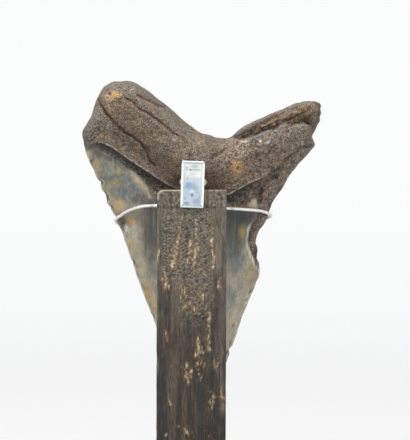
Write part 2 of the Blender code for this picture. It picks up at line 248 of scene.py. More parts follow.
def makeCamera():
    # level, looking along +Y; the long side of the frame is framePixels, and one unit of slope
    # covers pixelsPerSlope of them, so lens / sensor width is their ratio
    data = bpy.data.cameras.new("camera")
    data.sensor_width = 36.0
    data.lens = data.sensor_width * cameraPlace["pixelsPerSlope"] / cameraPlace["framePixels"]
    data.clip_start, data.clip_end = 0.01, 50.0
    camera = bpy.data.objects.new("camera", data)
    camera.location = Vector((cameraPlace["x"], cameraPlace["y"], cameraPlace["z"])) * metre
    camera.rotation_euler = (math.pi / 2, 0, 0)
    bpy.context.scene.collection.objects.link(camera)
    bpy.context.scene.camera = camera


studio = {
    "worldStrength": 0.40, "worldColor": (252, 252, 253), "floorRadius": 2600.0, "floorColor": 0.42,
    "glowColor": (252, 253, 253), "glowNear": 0.52, "glowFar": 0.77, "glowFrom": 0.4, "glowTo": 2.4,
    "lightColor": (1.0, 0.985, 0.96), "lightTarget": (0, 0, 0.14),
    "lights": [  # name, place and diameter in metres, power in watts
        ("top light", (-0.25, -0.35, 1.25), 1.1, 16.0), ("front light", (-0.9, -1.1, 0.75), 0.9, 2.9),
        ("right light", (1.0, -0.9, 0.55), 0.9, 3.4)],
}


def makeStudio():
    scene = bpy.context.scene
    scene.view_settings.view_transform = "Standard"
    world = bpy.data.worlds.new("studio")
    world.use_nodes = True
    background = world.node_tree.nodes["Background"]
    background.inputs["Color"].default_value = (*linear(*studio["worldColor"]), 1.0)
    background.inputs["Strength"].default_value = studio["worldStrength"]
    scene.world = world

    # a round bowl turned about Z: flat floor, then a quarter circle, then a short wall
    turn = np.linspace(0, 2 * math.pi, 97)[:-1]
    bend = np.linspace(0, math.pi / 2, 13)
    reach = studio["floorRadius"]
    radius = np.concatenate([[1.0, reach * 0.3, reach * 0.6], reach * (0.7 + 0.3 * np.sin(bend)), [reach]])
    height = np.concatenate([[0, 0, 0], reach * 0.3 * (1 - np.cos(bend)), [reach * 0.8]])
    radius, height = radius[:, None], height[:, None] + 0 * turn
    rings = np.stack([radius * np.cos(turn), radius * np.sin(turn), height], axis=-1)
    index = ringNumbers(*height.shape)
    floor = makeMesh("floor", rings.reshape(-1, 3), [gridFaces(index)[:, ::-1], index[:1, :-1]])
    material, shade, add, spread = newMaterial("pale floor")[:4]
    away = add("ShaderNodeVectorMath", "Value", {0: add("ShaderNodeTexCoord", "Object")}, operation="LENGTH")
    glow = spread(away, studio["glowNear"], studio["glowFar"], studio["glowFrom"], studio["glowTo"])
    shade({"Base Color": (*[studio["floorColor"]] * 3, 1), "Roughness": 0.9, "Specular IOR Level": 0.1,
           "Emission Color": (*linear(*studio["glowColor"]), 1), "Emission Strength": glow})
    floor.data.materials.append(material)
    floor.visible_diffuse = False                    # its glow stays off the pieces

    for name, place, size, power in studio["lights"]:
        lamp = bpy.data.lights.new(name, "AREA")
        lamp.shape, lamp.size, lamp.energy = "DISK", size, power
        lamp.color = studio["lightColor"]
        light = bpy.data.objects.new(name, lamp)
        light.location = place
        toTarget = Vector(studio["lightTarget"]) - Vector(place)
        light.rotation_euler = toTarget.to_track_quat("-Z", "Y").to_euler()
        scene.collection.objects.link(light)


# The tooth's outlines, grooves and borders are lists of (x, z) corners. The depths and the spread of
# rows go by v instead, the share of the way from the tip (0) to the top edge (1).
toothShape = {
    "edgeTip": 1.0, "edgeRise": 5.0, "ledgeRow": 0.70, "sagPower": 1.3,
    "serration": 0.10, "leftWear": 0.12, "rightWear": 0.35, "wearReach": 1.1,
    "ledgeStep": 3.0, "lipHeight": 0.35, "underLip": 0.40, "wingDrop": 0.9, "troughShare": 0.46,
    "fibreHeight": 0.38, "breakDrop": 1.5, "enamelStep": 0.35, "pitRadius": 2.6,
    "frontColumns": 330, "backColumns": 110, "rows": 214,
}
leftCrown = [(2.1, 59.2), (-2.4, 69.9), (-6.8, 81.4), (-12.2, 95.7), (-17.6, 109.9), (-22.0, 121.3),
             (-27.0, 134.9), (-31.8, 149.2), (-33.2, 152.2), (-33.6, 154.4), (-35.5, 157.0),
             (-39.1, 163.7), (-42.2, 171.1), (-45.2, 177.8), (-47.4, 182.8), (-48.5, 187.2)]
leftRoot = [(-48.5, 187.2), (-49.4, 191.8), (-47.6, 196.2), (-45.4, 200.2), (-44.1, 204.7),
            (-42.7, 208.3), (-40.9, 211.4)]
rightCrown = [(2.1, 59.2), (7.0, 69.9), (11.0, 79.6), (14.6, 88.5), (19.0, 100.8), (23.5, 113.5),
              (28.0, 124.2), (30.1, 130.6), (29.3, 136.0), (28.7, 143.4), (29.3, 147.5),
              (32.9, 153.2), (35.4, 160.4), (39.7, 166.9), (45.0, 175.4), (53.0, 184.2)]
rightRoot = [(53.0, 184.2), (55.2, 187.5), (53.8, 191.4), (55.3, 194.4), (56.6, 197.5), (57.3, 201.5),
             (57.3, 204.2), (56.5, 206.0)]
topEdge = [(-40.9, 211.4), (-39.6, 213.2), (-37.3, 214.8), (-34.2, 215.9), (-30.6, 216.1),
           (-27.0, 215.5), (-23.5, 213.7), (-19.0, 210.7), (-9.1, 203.1), (-0.2, 195.3), (3.4, 192.8),
           (6.1, 191.9), (13.3, 190.4), (16.0, 190.6), (22.2, 194.9), (32.1, 200.0), (42.8, 204.5),
           (47.3, 206.3), (50.9, 206.9), (54.0, 206.9), (56.5, 206.0)]
ledge = [(-48.5, 187.2), (-41.9, 187.4), (-27.0, 179.2), (-12.0, 169.4), (-5.4, 165.8), (0.4, 163.3),
         (5.7, 162.0), (10.1, 162.5), (15.8, 164.2), (21.1, 167.0), (27.7, 170.4), (33.4, 172.6),
         (43.1, 177.4), (53.0, 184.2)]
frontDepths = [(0.0, 0.4), (0.14, 4.7), (0.275, 8.0), (0.41, 10.9), (0.545, 13.2), (0.665, 14.2),
               (0.70, 14.2), (0.75, 14.7), (0.785, 17.2), (0.85, 20.4), (0.91, 19.2), (0.95, 15.8),
               (0.975, 12.0), (0.99, 7.8), (1.0, 0.0)]
backDepths = [(0.0, 0.4), (0.14, 2.4), (0.275, 3.6), (0.41, 4.3), (0.545, 4.7), (0.70, 5.0),
              (0.85, 6.0), (0.94, 5.6), (0.975, 4.2), (0.99, 2.7), (1.0, 0.0)]
rowSpread = [(0.0, 0.0), (0.36, 0.63), (0.60, 0.74), (1.0, 1.0)]   # crowded round the root's lip
wingGroove = [(-41.8, 206.8), (-38.5, 201.7), (-34.5, 196.1), (-28.9, 192.1), (-24.4, 189.0),
              (-20.3, 185.0), (-19.0, 180.1), (-16.3, 177.9)]
lobeGroove = [(-29.6, 207.4), (-25.3, 204.6), (-22.0, 201.6), (-18.5, 200.1), (-12.2, 195.1),
              (-8.2, 191.8), (-3.2, 188.9)]
shortGroove = [(-24.1, 208.6), (-21.7, 207.5), (-18.4, 206.4), (-15.1, 204.3), (-12.4, 203.4)]
crease = [(33.4, 173.0), (36.0, 174.6), (39.6, 176.9), (40.8, 179.6), (45.1, 182.8), (48.1, 185.8),
          (53.4, 186.8)]
fold = [(9.2, 180.8), (13.1, 183.4), (16.6, 185.6), (20.1, 187.4)]
shelf = [(14.2, 189.0), (18.9, 189.7), (22.4, 188.3), (25.5, 189.0), (29.1, 191.0), (33.1, 192.3),
         (36.6, 193.4), (40.6, 195.4), (47.6, 195.2), (50.3, 196.1), (53.5, 194.0)]
enamelTop = [(-48.2, 186.6), (-43.8, 185.6), (-40.7, 184.0), (-36.7, 182.2), (-31.4, 178.7),
             (-27.5, 176.2), (-23.9, 173.9), (-21.7, 171.6), (-19.8, 169.1), (-17.8, 165.8),
             (-15.1, 165.3), (-5.4, 160.3), (5.7, 159.4), (15.4, 160.1), (22.0, 159.3), (24.4, 160.6),
             (26.4, 162.6), (28.1, 162.9), (29.2, 160.4), (30.5, 157.0), (53.5, 156.0)]
breakLine = [  # z, x of the broken right side's border
    (120.0, 40.0), (128.0, 33.0), (130.2, 30.3), (134.1, 27.6), (139.2, 25.6), (144.0, 24.2),
    (149.7, 25.1), (155.0, 27.8), (159.0, 28.6), (163.4, 28.6), (170.0, 31.0), (175.0, 38.0),
    (179.0, 46.0)]
labialEnamelTop = [(-48.6, 184.0), (-38.0, 180.5), (-22.0, 176.0), (2.0, 173.0), (26.0, 175.0),
                   (42.0, 179.0), (54.0, 183.5)]
pits = [(-36.5, 209.6), (20.0, 176.5)]
speckTones = {"pale": (255, 252, 240), "dark": (58, 47, 38)}
edgeSpecks = [  # x, z, half size, tone of the small chips and dark dots along the right edge
    (23.8, 116.6, 0.55, "pale"), (24.6, 119.4, 0.4, "pale"), (19.4, 104.9, 0.6, "pale"),
    (18.2, 106.4, 0.5, "dark"), (20.4, 104.0, 0.5, "dark"), (25.6, 121.6, 0.45, "dark"),
    (24.2, 118.2, 0.4, "dark"), (27.9, 127.3, 0.4, "dark"), (23.0, 115.3, 0.4, "dark"),
    (17.0, 98.6, 0.6, "dark"), (26.6, 124.0, 0.35, "pale"), (21.3, 110.4, 0.35, "dark"),
    (19.8, 107.4, 0.35, "pale"), (22.2, 112.6, 0.35, "pale")]
nicks = [  # side, z, depth, half height of the notches in the cutting edges
    (-1, 170.4, 1.0, 0.8), (-1, 165.4, 0.8, 1.0), (-1, 163.4, 0.9, 0.9), (-1, 159.5, 0.7, 0.5),
    (-1, 147.0, 0.4, 0.5), (-1, 135.3, 0.8, 0.6), (-1, 110.3, 0.5, 0.7), (-1, 176.0, 0.3, 0.4),
    (1, 126.4, 0.3, 0.4), (1, 120.2, 0.4, 0.5), (1, 116.4, 0.45, 0.5), (1, 105.8, 0.5, 0.6),
    (1, 96.1, 1.2, 1.0), (1, 110.5, 0.3, 0.4)]


def sidePoint(crown, root, v):
    # the (x, z) point of one cutting edge at height v: the crown's outline below the lip's row
    row = toothShape["ledgeRow"]
    crownX, crownZ = along(crown, np.clip(v / row, 0, 1))
    rootX, rootZ = along(root, np.clip((v - row) / (1 - row), 0, 1))
    return np.where(v < row, crownX, rootX), np.where(v < row, crownZ, rootZ)


def sag(line, u):
    # how far a line from side to side hangs below the straight one between its ends
    (x0, z0), (x1, z1) = line[0], line[-1]
    return curve(line, x0 + u * (x1 - x0)) - (z0 + u * (z1 - z0))


def toothPlan(u, v):
    # (x, z) = left(v) (1 - u) + right(v) u, plus the sag of the root's lip and top edge, which
    # fades to the tip as (v / ledgeRow)^sagPower; both cutting edges are nicked and finely worn
    shape = toothShape
    leftX, leftZ = sidePoint(leftCrown, leftRoot, v)
    rightX, rightZ = sidePoint(rightCrown, rightRoot, v)
    intoRoot = ramp(v, shape["ledgeRow"], 1.0)
    hang = sag(ledge, u) * (1 - intoRoot) + sag(topEdge, u) * intoRoot
    hang = hang * np.clip(v / shape["ledgeRow"], 0, 1) ** shape["sagPower"]
    x = leftX * (1 - u) + rightX * u
    z = leftZ * (1 - u) + rightZ * u + hang
    width, level = rightX - leftX, 0 * v
    saw = shape["serration"] * fall(v, 0.66, 0.72) * ramp(v, 0.02, 0.08)
    leftTorn, rightTorn = shape["leftWear"] * ramp(v, 0.30, 0.50), shape["rightWear"] * ramp(v, 0.38, 0.42)
    for side, sideZ, inward, torn in ((-1, leftZ, u * width, leftTorn),
                                      (1, rightZ, (1 - u) * width, rightTorn)):
        worn = saw * lumps(level, level, sideZ, 0.9, 7 + side)
        worn += (0.08 + torn) * rough(level, level, sideZ, 3.6, 17 + side, 2) * ramp(v, 0.05, 0.12)
        for nickSide, nickZ, depth, half in nicks:
            if nickSide == side:
                worn += depth * bump(sideZ - nickZ, half)
        x = x - side * worn * np.exp(-inward / shape["wearReach"])
    return x, z + 0.22 * ramp(v, 0.93, 1.0) * rough(x, level, level, 4.0, 31, 3)


def fibreNoise(x, z, size, seed):
    # lumps drawn out along the right lobe, which climbs 0.5 for every 1 across
    lengthwise, across = x + 0.5 * z, z - 0.5 * x
    return (lumps(0.09 * lengthwise, 0 * x, across, size, seed)
            + 0.5 * lumps(0.2 * lengthwise, 0 * x, across, size / 2, seed + 1))


def toothFront(u, v, x, z):
    # depth of the inner face before the tooth's edge: arch(u)^power times a depth for the row, then
    # the root's lip, the grooves, the trough behind the shelf, the broken side and the dimples
    shape = toothShape
    level = 0 * x
    arch = 1 - (2 * u - 1) ** 2
    intoRoot = ramp(v, 0.62, 0.78)
    brokenSide = ramp(u, 0.75, 0.95) * ramp(v, 0.36, 0.42) * fall(v, 0.66, 0.72)
    power = 0.85 - 0.33 * intoRoot - 0.40 * brokenSide
    crest = 0.74 + 0.26 * bump(u - 0.47, 0.19)
    depth = curve(frontDepths, v) * arch ** power * (1 - intoRoot + intoRoot * crest)

    overLedge = z - curve(ledge, x)
    root = ramp(overLedge, -0.4, 0.6)
    side = ramp(arch, 0.0, 0.22)
    notTop = fall(v, 0.93, 1.0)
    whole = fall(x, 31, 36)                          # the lip is broken away on the right
    slope = ramp(overLedge + 1.6 * lumps(x, level, z, 3.0, 37) * (1 - whole), -3.5, 4.5)
    whole = whole * ramp(x, -46, -40)
    step = root * whole + slope * (1 - whole)
    lip = shape["lipHeight"] * bump(overLedge - 0.7, 0.7) * whole
    depth += (shape["ledgeStep"] * step + lip) * side * notTop
    depth -= shape["underLip"] * bump(overLedge + 1.4, 1.5) * (1 - root) * whole * side

    wing = (x < -16) * fall(z - curve(wingGroove, x), -0.5, 0.5) * root
    depth -= shape["wingDrop"] * wing * ramp(arch, 0.0, 0.4) * ramp(overLedge, 0.5, 6.0)
    wander = 0.5 * lumps(x, level, z, 2.6, 41)
    lobeReach = ramp(x, -31, -27) * (1 - 0.6 * ramp(x, -10, -3))
    for line, height, width, offset, reach in (
            (wingGroove, -0.9, 0.42, 0.0, ramp(z, 174, 192)), (wingGroove, 0.30, 0.8, 1.5, root),
            (lobeGroove, -0.9, 0.42, 0.0, lobeReach), (lobeGroove, 0.25, 1.0, 1.5, lobeReach),
            (shortGroove, -0.8, 0.42, 0.0, 1.0), (crease, -0.7, 0.5, 0.0, 1.0),
            (fold, -0.9, 0.9, 0.0, 1.0)):
        depth += height * bump(distanceTo(line, x, z + wander + offset), width) * reach

    overShelf = z - curve(shelf, x) + 0.9 * rough(x, level, z, 2.6, 43, 3)
    trough = ramp(overShelf, -0.5, 1.5) * bump(np.maximum(overShelf, 0), 7.0)
    acrossTrough = ramp(x, 14.5, 20.0) * fall(x, 51.0, 54.5)
    depth *= 1 - shape["troughShare"] * trough * acrossTrough
    fibres = fibreNoise(x, z, 1.2, 47) * ramp(overShelf, 0.5, 2.0)
    depth += shape["fibreHeight"] * fibres * acrossTrough * notTop

    overBreak = x - curve(breakLine, z) + 0.5 * lumps(x, level, z, 2.0, 53)
    broken = ramp(overBreak, 0.0, 1.0) * (1 - root) * ramp(z, 128.0, 131.0)
    depth -= broken * (shape["breakDrop"] + 0.6 * rough(x, level, z, 3.4, 59, 3)) * ramp(arch, 0.0, 0.3)
    radius = shape["pitRadius"]
    for pit in pits:
        depth -= 0.6 * spot(x, z, *pit, radius, radius) + 0.7 * spot(x, z, *pit, 0.5, 0.5)

    underEnamel = curve(enamelTop, x) - z + 0.5 * rough(x, level, z, 1.6, 61, 2)
    enamel = ramp(underEnamel, -0.2, 0.25) * (1 - broken)
    depth += shape["enamelStep"] * enamel * ramp(arch, 0.02, 0.2)
    flesh = root * ramp(arch, 0.0, 0.4) * notTop
    depth += flesh * (0.40 * lumps(x, level, z, 7.0, 1) + 0.28 * lumps(x, level, z, 3.6, 2))
    return np.maximum(depth, 0.02 * arch), {
        "root": root, "enamel": enamel, "broken": broken, "overLedge": overLedge, "overShelf": overShelf,
        "overBreak": overBreak, "underEnamel": underEnamel, "acrossTrough": acrossTrough}


def toothBack(u, v, x, z):
    # depth of the flatter outer face behind the tooth's edge, with its own enamel border
    level = 0 * x
    arch = 1 - (2 * u - 1) ** 2
    depth = curve(backDepths, v) * arch ** (0.55 - 0.12 * ramp(v, 0.62, 0.78))
    underEnamel = curve(labialEnamelTop, x) - z + 0.8 * rough(x, level, z, 4.0, 71, 3)
    enamel = ramp(underEnamel, -0.2, 0.3)
    depth += toothShape["enamelStep"] * (enamel - bump(underEnamel + 1.0, 1.0)) * ramp(arch, 0.02, 0.3)
    flesh = (1 - enamel) * ramp(arch, 0.0, 0.4) * fall(v, 0.93, 1.0)
    depth += flesh * (0.45 * lumps(x, level, z, 8.0, 73) + 0.25 * lumps(x, level, z, 3.0, 74))
    depth += 0.18 * lumps(x, level, 0.12 * z, 5.0, 75) * enamel * ramp(arch, 0.1, 0.6)
    return np.maximum(depth, 0.02 * arch), {"root": 1 - enamel, "enamel": enamel, "underEnamel": underEnamel}


def edgeMasks(u, v):
    # how far inside each cutting edge a point lies, and how deep it sits in a chip of the edge
    leftX, leftZ = sidePoint(leftCrown, leftRoot, v)
    rightX, rightZ = sidePoint(rightCrown, rightRoot, v)
    leftInward, rightInward = u * (rightX - leftX), (1 - u) * (rightX - leftX)
    chips = np.zeros(u.shape)
    for side, chipZ, depth, half in nicks:
        inward, level = (leftInward, leftZ) if side < 0 else (rightInward, rightZ)
        near = spot(inward, level, 0.0, chipZ, depth + 0.9, half + 0.45)
        chips = np.maximum(chips, min(1.0, 0.25 + 0.7 * depth) * near)
    return {"leftInward": leftInward, "rightInward": rightInward, "chips": chips * (v < 0.7)}


def roughen(points, normals, amount, seed):
    # push points along their normals by porous, lumpy noise
    x, y, z = points[..., 0], points[..., 1], points[..., 2]
    grain = 0.14 * rough(x, y, z, 1.7, seed, 2)
    pores = -0.22 * ramp(lumps(x, y, z, 0.95, seed + 9), 0.3, 0.7)
    return points + normals * ((grain + pores) * amount)[..., None]


def gridNormals(points, outward):
    # cross product of the two directions of a grid, turned to the given side of Y
    normal = np.cross(np.gradient(points, axis=1), np.gradient(points, axis=0))
    normal = normal / np.maximum(np.linalg.norm(normal, axis=-1, keepdims=True), 1e-9)
    return normal * outward


def toothFace(columns, depthOf, side, seed):
    # one face as a grid of points from edge to edge, and the masks that its colours need: the point
    # (x, edgeY + side * depth, z), with the outermost columns and the top row on the edge itself
    shape = toothShape
    half = np.arange(columns + 1) / columns
    across = 0.7 * half + 0.15 * (1 - np.cos(math.pi * half))
    rise = curve(rowSpread, np.arange(1, shape["rows"] + 1) / shape["rows"])
    u, v = np.meshgrid(across, rise)
    x, z = toothPlan(u, v)
    edgeY = shape["edgeTip"] + shape["edgeRise"] * np.clip(v / 0.75, 0, 1)
    depth, masks = depthOf(u, v, x, z)
    masks.update(edgeMasks(u, v))
    points = np.stack([x, edgeY + side * depth, z], axis=-1)
    points[:, [0, -1], 1] = edgeY[:, [0, -1]]
    points[-1, :, 1] = edgeY[-1]
    arch = 1 - (2 * u - 1) ** 2
    porous = np.clip(1 - masks["enamel"], 0, 1) * ramp(arch, 0.0, 0.05) * fall(v, 0.99, 1.0)
    return roughen(points, gridNormals(points, -side), porous, seed), masks


def makeTooth():
    # the tip, the inner face's grid and the outer face's own points; the outer grid is coarser and
    # shares the inner one's points at both cutting edges and, every few columns, along the top
    shape = toothShape
    front, frontMasks = toothFace(shape["frontColumns"], toothFront, -1, 81)
    back, backMasks = toothFace(shape["backColumns"], toothBack, 1, 91)
    ratio = shape["frontColumns"] // shape["backColumns"]

    tip = np.array([[leftCrown[0][0], shape["edgeTip"], leftCrown[0][1]]])
    frontIndex = 1 + np.arange(front.size // 3).reshape(front.shape[:2])
    inner = back[:-1, 1:-1]
    backIndex = np.empty(back.shape[:2], dtype=np.int64)
    backIndex[:, 0], backIndex[:, -1] = frontIndex[:, 0], frontIndex[:, -1]
    backIndex[:-1, 1:-1] = frontIndex[-1, -1] + 1 + np.arange(inner.size // 3).reshape(inner.shape[:2])
    backIndex[-1] = frontIndex[-1, ::ratio]
    corners = np.concatenate([tip, front.reshape(-1, 3), inner.reshape(-1, 3)])

    def tipFan(first, second):
        return np.stack([0 * first, first, second], axis=-1)

    # fans join the tip to both first rows, and the outer face's last row to the finer one above it
    fans = [tipFan(frontIndex[0, 1:], frontIndex[0, :-1]), tipFan(backIndex[0, :-1], backIndex[0, 1:])]
    seam = [backIndex[-2, 1:], backIndex[-2, :-1]]
    seam += [frontIndex[-1, k:k + shape["frontColumns"] - ratio + 1:ratio] for k in range(ratio)]
    seam = np.stack(seam + [frontIndex[-1, ratio::ratio]], axis=-1)
    seam[len(seam) // 2:] = np.roll(seam[len(seam) // 2:], -1, axis=1)
    seamFans = np.concatenate([seam[:, [0, k, k + 1]] for k in range(1, ratio + 2)])
    grids = [gridFaces(frontIndex), gridFaces(backIndex[:-1])[:, ::-1]]
    tooth = makeMesh("fossilTooth", corners, [*grids, seamFans, *fans])

    frontTint, frontGloss = toothColors(front, frontMasks, True)
    backTint, backGloss = (values[:-1, 1:-1] for values in toothColors(back, backMasks, False))
    tint = np.concatenate([frontTint.reshape(-1, 3), backTint.reshape(-1, 3)])
    gloss = np.concatenate([frontGloss.ravel(), backGloss.ravel()])
    paint(tooth, "tint", np.concatenate([tint[:1], tint]))
    paint(tooth, "gloss", np.concatenate([gloss[:1], gloss]))
    print("tooth:", len(tooth.data.polygons), "faces")
    return finishPiece(tooth, toothMaterial(), "tooth")


fossilTones = {
    "ochre": (214, 180, 122), "orange": (212, 162, 92), "yellow": (186, 168, 96),
    "slate": (104, 112, 118), "cream": (212, 196, 166), "tan": (196, 176, 140), "olive": (162, 156, 126),
    "grey": (86, 87, 84), "charcoal": (46, 42, 39), "mist": (140, 147, 150), "sand": (194, 184, 160),
    "pale": (208, 205, 192), "white": (248, 242, 226), "gold": (200, 168, 108)}
enamelBlotches = [  # x, z, half width, half height, tone, strength
    (-46.0, 184.0, 1.8, 2.6, "tan", 0.6), (-42.6, 183.6, 2.0, 1.8, "grey", 0.6),
    (-39.0, 180.0, 2.6, 3.4, "olive", 0.4), (-42.9, 178.6, 1.3, 2.6, "ochre", 0.75),
    (-37.2, 177.0, 2.4, 3.6, "mist", 0.5), (-32.7, 175.8, 1.2, 2.8, "ochre", 0.8),
    (-29.6, 177.6, 1.8, 1.9, "sand", 0.6), (-38.0, 172.7, 2.6, 1.2, "slate", 0.75),
    (-33.4, 173.0, 3.0, 1.1, "slate", 0.75), (-28.6, 171.8, 3.0, 1.5, "slate", 0.7),
    (-24.2, 168.3, 3.4, 1.8, "slate", 0.75), (-24.8, 172.0, 1.0, 1.8, "ochre", 0.6),
    (-36.6, 181.0, 2.6, 1.4, "slate", 0.7), (-31.0, 177.0, 2.0, 1.2, "slate", 0.6),
    (-41.4, 182.2, 1.6, 1.4, "slate", 0.6), (-29.0, 173.0, 1.2, 1.6, "mist", 0.6),
    (-34.0, 170.4, 1.6, 1.6, "yellow", 0.85), (-38.0, 167.8, 2.6, 2.2, "olive", 0.7),
    (-31.0, 166.2, 4.6, 3.2, "slate", 0.8), (-24.6, 165.0, 6.0, 3.6, "slate", 0.8),
    (-22.5, 163.0, 6.0, 2.6, "grey", 0.7), (-18.0, 162.0, 4.0, 2.4, "grey", 0.85),
    (-32.8, 160.0, 2.5, 2.6, "ochre", 0.8), (-26.4, 147.2, 3.4, 5.0, "pale", 0.75),
    (-31.2, 152.2, 3.0, 2.7, "charcoal", 1.0), (-26.8, 153.3, 1.9, 1.5, "orange", 1.0),
    (-29.4, 149.8, 1.1, 1.7, "white", 0.9), (-28.8, 145.3, 1.4, 0.6, "white", 0.9),
    (-26.4, 141.4, 4.0, 4.6, "sand", 0.9), (-27.0, 142.6, 1.8, 2.6, "gold", 0.8),
    (-24.4, 136.4, 2.2, 3.6, "sand", 0.9), (-23.0, 131.0, 2.2, 4.6, "cream", 0.7),
    (-18.2, 136.8, 1.9, 1.6, "charcoal", 0.7), (-17.6, 131.6, 2.8, 4.6, "slate", 0.65),
    (-19.6, 121.6, 1.7, 5.0, "gold", 1.0), (-17.2, 114.6, 1.4, 4.2, "gold", 0.7),
    (-15.9, 123.0, 1.3, 4.0, "slate", 0.6), (-14.6, 110.0, 2.0, 3.4, "sand", 0.6),
    (26.5, 161.0, 3.0, 2.4, "sand", 1.0), (27.9, 161.6, 1.5, 2.2, "cream", 0.9),
    (18.5, 155.6, 5.0, 2.4, "charcoal", 0.7), (26.4, 155.8, 2.8, 2.0, "grey", 0.85),
    (22.1, 148.2, 1.5, 3.0, "yellow", 1.0), (16.6, 145.4, 2.4, 7.5, "grey", 0.7),
    (18.4, 138.0, 4.4, 6.4, "slate", 0.9), (21.0, 134.0, 3.2, 3.2, "mist", 0.8),
    (26.6, 130.6, 3.2, 4.0, "ochre", 0.6), (25.4, 133.6, 1.1, 2.0, "ochre", 0.5),
    (17.4, 119.2, 2.4, 5.0, "mist", 0.7), (17.6, 108.8, 1.0, 2.4, "ochre", 0.35),
    (21.4, 113.0, 2.4, 5.0, "sand", 0.6)]
creamLine = [(-27.6, 175.6), (-25.0, 172.7), (-22.3, 169.8), (-20.2, 166.9), (-18.6, 164.0)]
rootSpots = [  # x, z, half width, half height, colour, strength
    (-35.0, 209.1, 4.2, 2.0, (186, 146, 98), 0.85), (-33.8, 209.3, 2.4, 1.2, (202, 156, 100), 0.5),
    (-36.2, 207.1, 2.0, 1.2, (164, 142, 108), 0.6), (-26.8, 211.3, 1.8, 1.8, (150, 128, 108), 0.7),
    (19.9, 176.4, 4.8, 4.4, (164, 132, 96), 0.8), (19.9, 177.0, 2.9, 2.8, (232, 186, 134), 0.95),
    (19.2, 178.0, 1.5, 1.3, (244, 206, 156), 0.4), (19.8, 173.0, 2.2, 1.8, (172, 142, 108), 0.6),
    (50.1, 202.2, 1.4, 1.2, (152, 118, 90), 0.8), (-28.6, 194.4, 1.1, 0.8, (160, 118, 96), 0.6),
    (29.9, 188.5, 0.7, 0.8, (250, 248, 242), 1.0), (33.4, 187.9, 0.8, 0.6, (250, 248, 242), 1.0),
    (31.0, 186.4, 0.8, 0.3, (190, 182, 170), 0.8), (47.6, 194.4, 2.2, 0.8, (176, 174, 170), 0.7),
    (35.2, 172.0, 1.2, 1.1, (142, 116, 100), 0.8), (42.6, 181.0, 1.0, 2.0, (92, 74, 62), 0.6),
    (22.4, 188.2, 2.8, 0.45, (230, 220, 210), 0.9), (31.0, 184.8, 2.6, 2.6, (158, 146, 130), 0.5),
    (37.6, 175.4, 2.8, 2.6, (70, 74, 72), 0.75), (38.6, 171.2, 2.4, 2.2, (84, 84, 80), 0.6),
    (51.0, 187.2, 2.4, 2.6, (86, 88, 90), 0.6), (42.0, 184.6, 3.6, 1.4, (84, 82, 78), 0.5)]
rootPores = [  # x, z of the larger dark pores
    (8.8, 183.8), (8.9, 182.2), (8.7, 180.4), (8.9, 178.4), (8.5, 176.2), (-21.0, 184.2), (-27.2, 184.6),
    (-17.6, 193.2), (-9.9, 188.4), (-11.6, 185.9), (-21.7, 192.0), (-25.5, 198.0), (-13.2, 197.7),
    (-2.8, 191.7), (-15.9, 185.7), (-8.3, 183.2), (-22.2, 187.3), (-34.5, 192.0), (-19.0, 178.6),
    (-30.6, 188.6), (-5.0, 178.4), (9.6, 172.6), (26.0, 181.4), (13.0, 176.0), (36.4, 186.6)]


